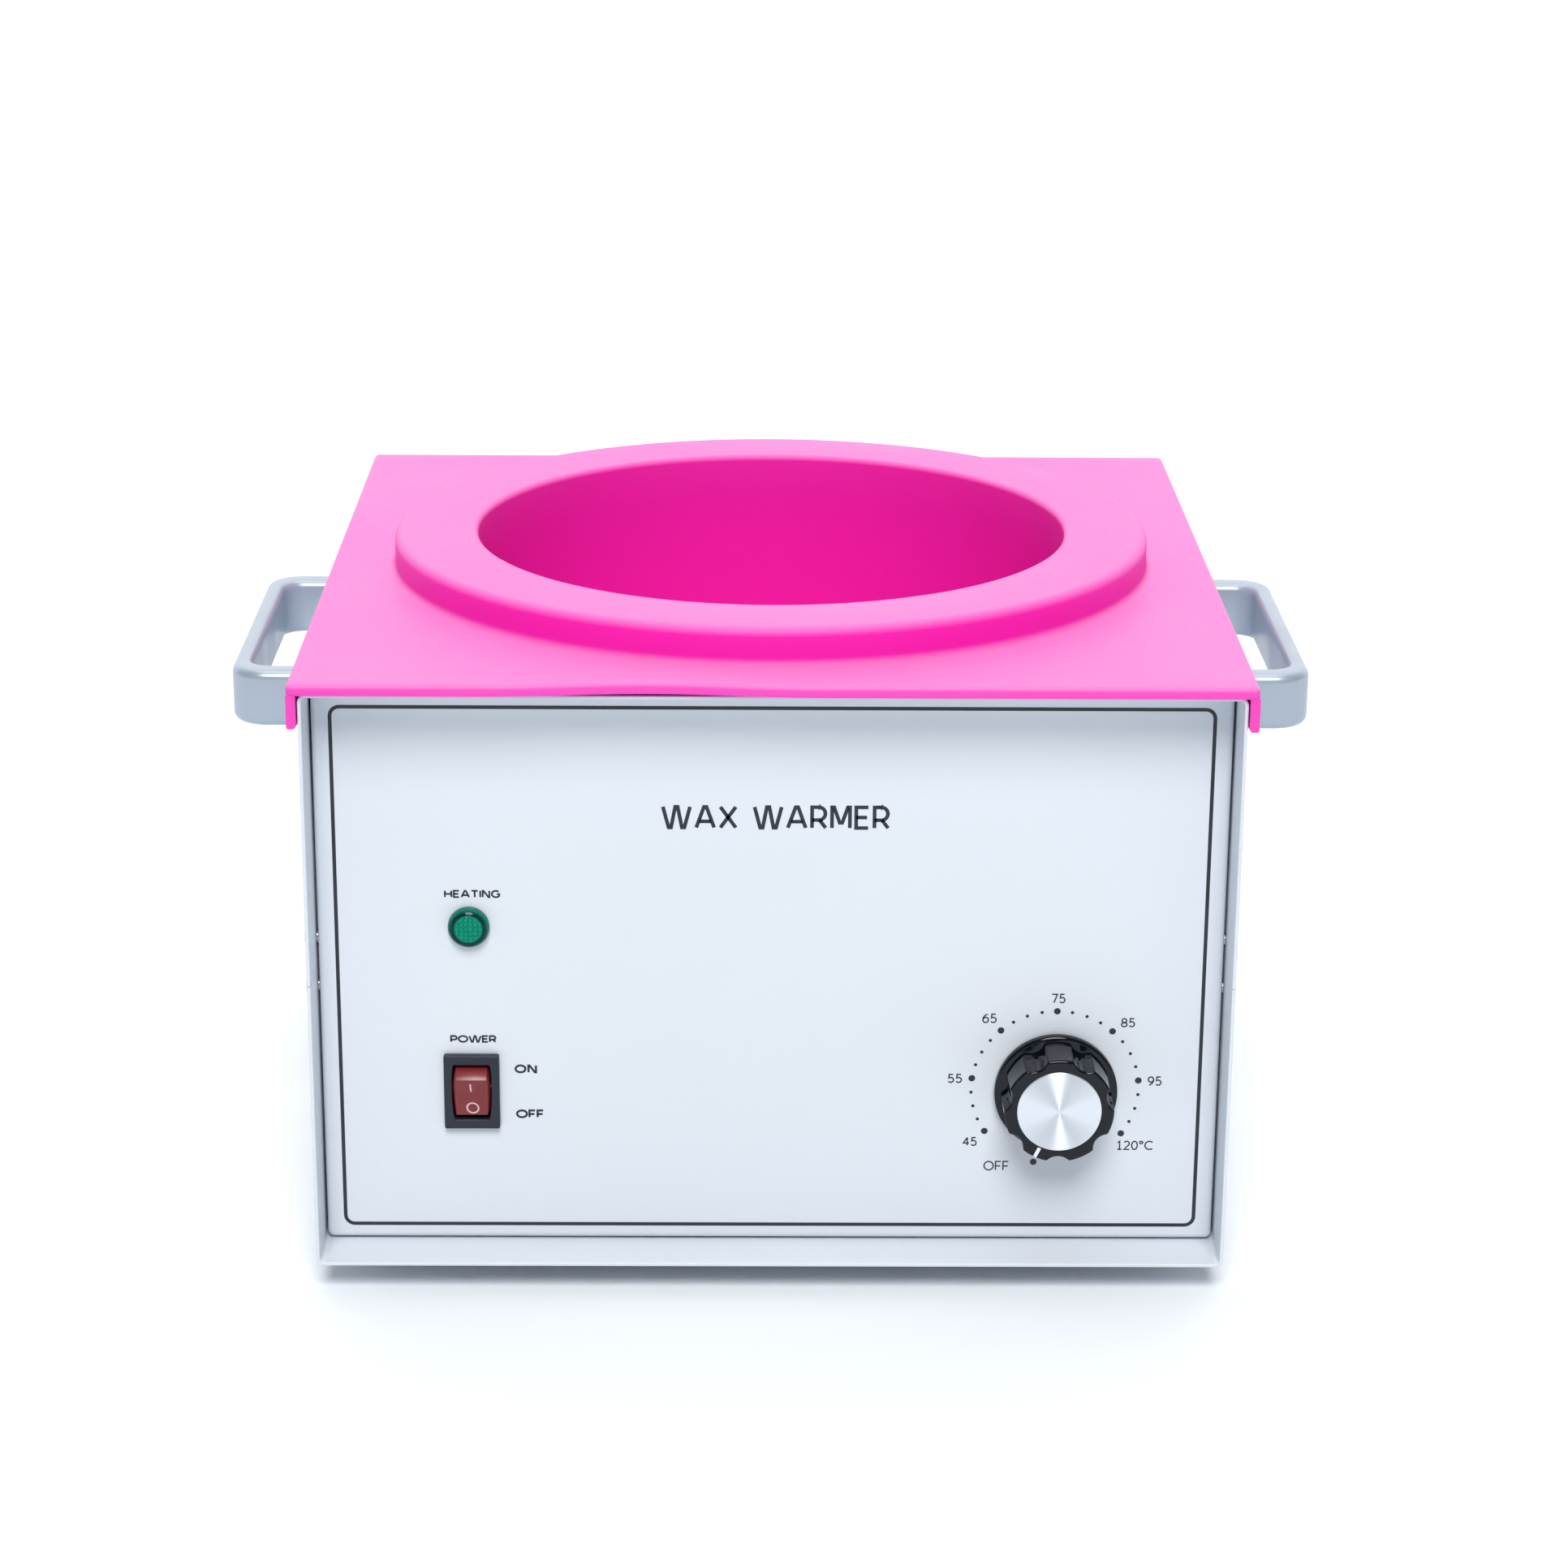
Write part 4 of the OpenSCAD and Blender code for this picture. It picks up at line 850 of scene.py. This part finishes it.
# ---------------------------------------------------------------- knob
knob_low, knob_high = box_mm("knob_body")
knob_at = middle("knob_cap")
KNOB_X, KNOB_Z = knob_at.x, knob_at.z
KNOB_FRONT = PANEL_Y - knob_low.y
KNOB_BACK = PANEL_Y - knob_high.y
SKIRT_R = (knob_high.x - knob_low.x) / 2
SKIRT_TOP = 3.1
SKIRT_EDGE_R = 0.9
HOLLOW_R = 12.6
HOLLOW_DEPTH = 2.5
SHAFT_HOLE_R = 3.2
LOBE_R = 14.9
LOBE_BLEND = 0.35
SCALLOPS = 7
SCALLOP_AT, SCALLOP_R = 17.5, 4.2
CAP_R = 11.33
CAP_DEPTH = 0.6
POINTER_ANGLE = 205.7
knob_place = on_front(KNOB_X, KNOB_Z)


def clock(angle, r):
    """Across and up, at an angle clockwise from the top."""
    a = math.radians(angle)
    return (r * math.sin(a), r * math.cos(a))


def knob_radius(angle):
    """Radius of the grip at an angle clockwise from the top, dipping into each scallop."""
    pitch_angle = 360 / SCALLOPS
    off = (angle - 180 + pitch_angle / 2) % pitch_angle - pitch_angle / 2
    d = math.radians(off)
    reach = SCALLOP_R**2 - (SCALLOP_AT * math.sin(d)) ** 2
    cut = SCALLOP_AT * math.cos(d) - math.sqrt(max(0.0, reach))
    h = max(0.0, min(1.0, 0.5 + 0.5 * (cut - LOBE_R) / LOBE_BLEND))
    return cut * (1 - h) + LOBE_R * h - LOBE_BLEND * h * (1 - h)


def knob_shape():
    n = 420
    angles = [360 * k / n for k in range(n)]

    def round_ring(r, w):
        return [(*clock(a, r), w) for a in angles]

    def grip_ring(inset, w):
        return [(*clock(a, knob_radius(a) - inset), w) for a in angles]

    rings = [round_ring(HOLLOW_R, KNOB_BACK)]
    rings.append(round_ring(SKIRT_R - 0.2, KNOB_BACK))
    rings.append(round_ring(SKIRT_R, KNOB_BACK + 0.2))
    rings.append(round_ring(SKIRT_R, SKIRT_TOP - SKIRT_EDGE_R))
    for r, w in arc(SKIRT_R - SKIRT_EDGE_R, SKIRT_TOP - SKIRT_EDGE_R, SKIRT_EDGE_R, 15, 90, 5):
        rings.append(round_ring(r, w))
    rings.append(grip_ring(-0.35, SKIRT_TOP + 0.02))
    rings.append(grip_ring(-0.1, SKIRT_TOP + 0.12))
    rings.append(grip_ring(0.0, SKIRT_TOP + 0.4))
    edge = 0.55
    rings.append(grip_ring(0.12, KNOB_FRONT - edge))
    for inset, drop in ((0.17, 0.30), (0.30, 0.12), (0.55, 0.0)):
        rings.append(grip_ring(0.10 + inset, KNOB_FRONT - drop))
    rim = CAP_R + 0.10
    flat_edge = [max(rim + 0.15, min(knob_radius(a) - 0.8, rim + 0.3)) for a in angles]
    rings.append([(*clock(a, r), KNOB_FRONT) for a, r in zip(angles, flat_edge)])
    rings.append(round_ring(rim, KNOB_FRONT - 0.04))
    rings.append(round_ring(rim, KNOB_FRONT - CAP_DEPTH))
    rings.append(round_ring(SHAFT_HOLE_R, KNOB_FRONT - CAP_DEPTH))
    rings.append(round_ring(SHAFT_HOLE_R, KNOB_BACK + HOLLOW_DEPTH))
    rings.append(round_ring(HOLLOW_R, KNOB_BACK + HOLLOW_DEPTH))
    rings.append(round_ring(HOLLOW_R, KNOB_BACK))
    return placed(loft(rings), knob_place)


build("knob_grip", knob_shape(), FINISH["knob_black"], "knob", ["knob_body"], sharp=30)

cap_profile = [(0.05, -CAP_DEPTH), (CAP_R - 0.05, -CAP_DEPTH), (CAP_R, -0.2), (CAP_R - 0.04, -0.06)]
cap_profile += [(CAP_R - 0.15, 0.0), (CAP_R - 0.6, 0.03), (6.0, 0.06), (0.05, 0.07)]
cap_shape = lathe([(r, KNOB_FRONT + w) for r, w in cap_profile], 160)
cap_shape = placed(cap_shape, knob_place)
build("knob_face", cap_shape, FINISH["cap_aluminium"], "knob", ["knob_cap"])


def pointer_shape():
    """A painted line from the cap to the grip's edge, carried a little way down the side."""
    half = 0.48
    edge_r = knob_radius(POINTER_ANGLE)
    path = [(CAP_R + 0.35, KNOB_FRONT), (edge_r - 0.66, KNOB_FRONT), (edge_r - 0.38, KNOB_FRONT - 0.12)]
    path += [(edge_r - 0.26, KNOB_FRONT - 0.30), (edge_r - 0.20, KNOB_FRONT - 0.62)]
    a = math.radians(POINTER_ANGLE)
    radial = Vector((math.sin(a), math.cos(a)))
    side = Vector((radial.y, -radial.x))
    rings = []
    for i, (r, w) in enumerate(path):
        lift = (0.0, 0.04) if i < 2 else (0.04, 0.02)
        ring = []
        for s, k in ((-half, 0), (half, 0), (half, 1), (-half, 1)):
            p = radial * (r + lift[0] * k) + side * s
            ring.append((p.x, p.y, w + lift[1] * k - 0.1 * (1 - k)))
        rings.append(ring)
    return placed(loft(rings, first_cap=True, last_cap=True), knob_place)


build("knob_line", pointer_shape(), FINISH["mark_white"], "knob", ["knob_pointer"])

# ---------------------------------------------------------------- switch
bezel_low, bezel_high = box_mm("switch_housing")
SWITCH_X = (bezel_low.x + bezel_high.x) / 2
SWITCH_Z = (bezel_low.z + bezel_high.z) / 2
BEZEL_W = bezel_high.x - bezel_low.x
BEZEL_H = bezel_high.z - bezel_low.z
BEZEL_T = PANEL_Y - bezel_low.y
BODY_DEPTH = bezel_high.y - PANEL_Y
switch_place = on_front(SWITCH_X, SWITCH_Z)


def barrel(top_w, mid_w, bottom_w, height, r=0.6, steps=16):
    """An outline with bowed sides, anticlockwise from its lower right corner."""

    def half_width(v):
        t = v / (height / 2)
        end = top_w if t > 0 else bottom_w
        return (mid_w + (end - mid_w) * t * t) / 2

    h = height / 2
    side = [-h + r + (height - 2 * r) * i / steps for i in range(steps + 1)]
    out = []
    right_x = half_width(-h) - r
    out += arc(right_x, -h + r, r, -90, -15, 4)
    out += [(half_width(v), v) for v in side[1:-1]]
    top_x = half_width(h) - r
    out += arc(top_x, h - r, r, 15, 90, 4)
    out += arc(-top_x, h - r, r, 90, 165, 4)
    out += [(-half_width(v), v) for v in reversed(side[1:-1])]
    out += arc(-right_x, -h + r, r, 195, 270, 4)
    return out


def switch_shape():
    opening = barrel(10.0, 10.7, 9.6, 15.9)
    well = barrel(10.1, 10.8, 9.7, 16.0)
    frame_plate = prism(round_box(BEZEL_W, BEZEL_H, 0.55), 0, BEZEL_T, 0.05, 0.4, [opening], 0.25)
    walls = prism(round_box(13, 19, 0.4), -BODY_DEPTH, -0.02, 0.2, 0.02, [well], 0.02)
    floor = prism(round_box(12.8, 18.8, 0.4), -BODY_DEPTH, -8.6)
    return placed(joined(frame_plate, walls, floor), switch_place)


build("switch_frame", switch_shape(), FINISH["switch_black"], "casing", ["switch_housing"])

ROCKER_TILT = 12.0
PIVOT_IN = 2.0
ARC_R = 7.55
FACE = 5.0
BACK = -3.0
ROCKER_W = 9.7
ROCKER_BOW = 0.06
DISH = 0.28
PIN_R = 1.2
PIN_HALF = 5.6
FACE_HALF = math.sqrt(ARC_R**2 - FACE**2)


def rocker_place(u, v, w):
    """Across, up the face and outwards, about the tilted rocker's pivot."""
    a = math.radians(ROCKER_TILT)
    out = w * math.cos(a) + v * math.sin(a)
    rise = v * math.cos(a) - w * math.sin(a)
    return (SWITCH_X + u, PANEL_Y + PIVOT_IN - out, SWITCH_Z + rise)


def on_face(v):
    """Height of the dished face at v."""
    return FACE - DISH * (1 - (v / FACE_HALF) ** 2)


def rocker_shape():
    """A rocker with a slightly dished face, curved ends and narrow bevelled flanks."""
    face_angle = math.degrees(math.acos(FACE / ARC_R))
    back_angle = math.degrees(math.acos(BACK / ARC_R))
    outline = []
    for i in range(17):
        v = FACE_HALF - 2 * FACE_HALF * i / 16
        outline.append((v, on_face(v)))
    outline = outline[::-1]
    steps = 14
    ends = [clock(face_angle + (back_angle - face_angle) * i / steps, ARC_R) for i in range(1, steps + 1)]
    outline += ends
    outline += [(-v, w) for v, w in reversed(ends)]
    rings = []
    half = ROCKER_W / 2
    for inwards, inset in ((0.0, 1.9), (0.1, 1.5), (0.55, 0.16), (0.65, 0.04), (0.8, 0.0)):
        rings.append([(inwards - half, v, w) for v, w in shrunk(outline[::-1], inset)])
    for ring in list(reversed(rings)):
        rings.append([(-u, v, w) for u, v, w in ring])
    body = loft(rings, first_cap=True, last_cap=True)
    pin_rings = [[(u, v, w) for v, w in circle(PIN_R, 24)] for u in (-PIN_HALF, PIN_HALF)]
    pins = loft(pin_rings, first_cap=True, last_cap=True)

    def bowed(u, v, w):
        return rocker_place(u * (1 + ROCKER_BOW * max(0, 1 - (v / FACE_HALF) ** 2)), v, w)

    return joined(placed(body, bowed), placed(pins, rocker_place))


build("rocker", rocker_shape(), FINISH["switch_red"], "rocker", ["switch_rocker"])


def rocker_marks():
    line_v, line_h, line_w = 3.05, 2.5, 0.44
    ring_v, ring_r, ring_t = -3.5, 1.75, 0.42
    lean = 0.065
    bar = prism(round_box(line_w, line_h, 0.1, 0, line_v), -0.1, 0.04)
    zero = prism(circle(ring_r, 48, 0, ring_v), -0.1, 0.04, holes=[circle(ring_r - ring_t, 48, 0, ring_v)])
    return placed(joined(bar, zero), lambda u, v, w: rocker_place(u - lean * v, v, on_face(v) + w))


build("rocker_marks", rocker_marks(), ROCKER_INK, "rocker")

# ---------------------------------------------------------------- lamp
lamp_low, lamp_high = box_mm("lamp_lens")
LAMP_X = (lamp_low.x + lamp_high.x) / 2
LAMP_Z = (lamp_low.z + lamp_high.z) / 2
LAMP_R = (lamp_high.x - lamp_low.x) / 2
LAMP_OUT = PANEL_Y - lamp_low.y
PEBBLE_PITCH = 1.26
PEBBLE_AREA = 3.85
lamp_place = on_front(LAMP_X, LAMP_Z)


def lamp_shape():
    rim = ((0.15, 0.0), (0.0, 0.15), (0.0, 1.1), (0.12, 1.6), (0.4, 2.1), (0.85, 2.6), (1.3, 2.85))
    profile = [(LAMP_R - inset, w) for inset, w in rim]
    profile += [(PEBBLE_AREA + 0.12, 2.82), (PEBBLE_AREA, 2.65)]
    n = 144
    rings = []
    for r, w in profile:
        rings.append([(*clock(360 * k / n, r), w) for k in range(n)])
    steps = 34
    for i in range(1, steps):
        r = PEBBLE_AREA * (1 - i / steps)
        ring = []
        for k in range(n):
            u, v = clock(360 * k / n, r)
            ring.append((u, v, pebble_height(u, v, r)))
        rings.append(ring)
    return placed(loft(rings, last_cap=True), lamp_place)


def pebble_height(u, v, r):
    pu = (u / PEBBLE_PITCH) % 1 - 0.5
    pv = (v / PEBBLE_PITCH + 0.5) % 1 - 0.5
    dome = max(0.0, 1 - (pu * pu + pv * pv) / 0.25)
    return min(LAMP_OUT, 2.55 + 0.42 * math.sqrt(dome) * min(1, (PEBBLE_AREA - r) / 0.3))


build("lamp_dome", lamp_shape(), FINISH["lamp_green"], "casing", ["lamp_lens"])

# ---------------------------------------------------------------- print on the front panel
INK = 0.03
BORDER_LOW, BORDER_HIGH = 13.8, 162.2
BORDER_HALF = 116.3
# Angle clockwise from the top and radius of each large dot
MAJOR_DOTS = (
    (-166.3, 22.1),
    (-123.2, 22.5),
    (-81.9, 22.8),
    (-41.1, 22.8),
    (0.2, 22.8),
    (41.7, 22.8),
    (83.3, 22.8),
    (125.1, 22.5),
)
PRINT_LIFT = 0.1
PRINT_SHIFT = -0.15


def panel_print():
    mid_z = (BORDER_LOW + BORDER_HIGH) / 2
    tall = BORDER_HIGH - BORDER_LOW
    outer = round_box(2 * BORDER_HALF + 1, tall + 1, 3.0, 0, mid_z)
    inner = round_box(2 * BORDER_HALF - 1, tall - 1, 2.0, 0, mid_z)
    shapes = [prism(outer, 0, INK, holes=[inner])]
    shapes.append(words("WAX WARMER", -29.5, 31.2, 128.5, 135.3, 1.0, gap=0.3))
    shapes.append(words("HEATING", -87.4, -72.4, 108.9, 111.2, 0.50, gap=0.27))
    shapes.append(words("POWER", -86.6, -74.1, 67.3, 69.5, 0.50, gap=0.22))
    shapes.append(words("ON", -69.4, -63.3, 58.4, 61.0, 0.60, gap=0.3))
    shapes.append(words("OFF", -69.2, -61.5, 45.2, 47.8, 0.60, gap=0.25))
    labels = (
        ("75", 75.4, 79.3, 79.2, 82.0),
        ("65", 56.9, 60.9, 73.4, 76.2),
        ("85", 94.4, 98.3, 72.3, 75.0),
        ("55", 47.9, 51.9, 55.9, 58.6),
        ("95", 102.2, 106.1, 55.2, 58.0),
        ("45", 52.4, 56.3, 37.3, 40.0),
        ("OFF", 58.2, 65.2, 30.0, 32.9),
        ("120°C", 94.5, 104.6, 36.2, 39.0),
    )
    for text, u0, u1, v0, v1 in labels:
        shapes.append(words(text, u0, u1, v0, v1, 0.38, gap=0.24))
    dial_x, dial_z = KNOB_X + PRINT_SHIFT, KNOB_Z + PRINT_LIFT
    for i, (angle, r) in enumerate(MAJOR_DOTS):
        u, v = clock(angle, r)
        shapes.append(prism(circle(0.92, 28, dial_x + u, dial_z + v), 0, INK))
        if 1 <= i < len(MAJOR_DOTS) - 1:
            next_angle, next_r = MAJOR_DOTS[i + 1]
            for k in (1, 2, 3):
                u, v = clock(angle + (next_angle - angle) * k / 4, r + (next_r - r) * k / 4)
                shapes.append(prism(circle(0.46, 16, dial_x + u, dial_z + v), 0, INK))
    return placed(joined(*shapes), on_front(0, 0))


build("panel_print", panel_print(), PRINT_INK, "casing")

# ---------------------------------------------------------------- CAD nodes that stay
ROUNDED = {
    "top_cover": 0.3,
    "base_tray": 0.3,
    "casing_screws": 0.15,
    "inlet_housing": 0.35,
    "inlet_screws": 0.15,
    "inlet_pins": 0.2,
    "foot_front_left": 0.5,
    "foot_front_right": 0.5,
    "foot_rear_left": 0.5,
    "foot_rear_right": 0.5,
    "foot_screws": 0.15,
    "heating_well": 0.3,
    "well_screws": 0.15,
    "well_gasket": 0.15,
}
for node, width in ROUNDED.items():
    soften(node, width)

for node in nodes.values():
    for slot in node.material_slots:
        slot.material = FINISH[slot.material.name.split(".")[0]]

# ---------------------------------------------------------------- floor, light and view
FLOOR_HALF = 12.0
FLOOR_COLOR = (0.85, 0.885, 0.93)
floor_paper = Shader("floor_paper", FLOOR_COLOR, rough=0.9, Specular_IOR_Level=0.0)
floor_corners = [(sx * FLOOR_HALF, sy * FLOOR_HALF, 0) for sx, sy in ((-1, -1), (1, -1), (1, 1), (-1, 1))]
floor_mesh = bpy.data.meshes.new("floor")
floor_mesh.from_pydata(floor_corners, [], [(0, 1, 2, 3)])
floor = bpy.data.objects.new("floor", floor_mesh)
bpy.context.scene.collection.objects.link(floor)
floor_mesh.materials.append(floor_paper.material)

# The studio is white all round, and brighter behind the object than in front of it
WORLD_FRONT, WORLD_BACK = 0.10, 1.35
world = bpy.data.worlds.new("studio")
bpy.context.scene.world = world
world.use_nodes = True
tree = world.node_tree
direction = tree.nodes.new("ShaderNodeTexCoord")
axes = tree.nodes.new("ShaderNodeSeparateXYZ")
spread = tree.nodes.new("ShaderNodeMapRange")
spread.interpolation_type = "SMOOTHSTEP"
spread.inputs["From Min"].default_value = 0.0
spread.inputs["From Max"].default_value = 0.8
spread.inputs["To Min"].default_value = WORLD_FRONT
spread.inputs["To Max"].default_value = WORLD_BACK
tree.links.new(direction.outputs["Generated"], axes.inputs[0])
tree.links.new(axes.outputs["Y"], spread.inputs["Value"])
tree.links.new(spread.outputs["Result"], tree.nodes["Background"].inputs["Strength"])
tree.nodes["Background"].inputs["Color"].default_value = (1, 1, 1, 1)


def soft_sun(name, elevation, azimuth, spread_angle, strength, color=(1, 1, 1)):
    """Even light over the whole set. Azimuth 0 comes from the front, 90 from the right."""
    data = bpy.data.lights.new(name, "SUN")
    data.energy = strength
    data.color = color
    data.angle = math.radians(spread_angle)
    light = bpy.data.objects.new(name, data)
    bpy.context.scene.collection.objects.link(light)
    e, a = math.radians(elevation), math.radians(azimuth)
    source = Vector((math.sin(a) * math.cos(e), -math.cos(a) * math.cos(e), math.sin(e)))
    light.rotation_euler = (-source).to_track_quat("-Z", "Y").to_euler()
    return light


soft_sun("front", 51, 0, 28, 2.66, (1.0, 0.985, 0.955))
soft_sun("overhead", 80, 180, 40, 0.8)

bpy.context.scene.view_settings.view_transform = "Standard"
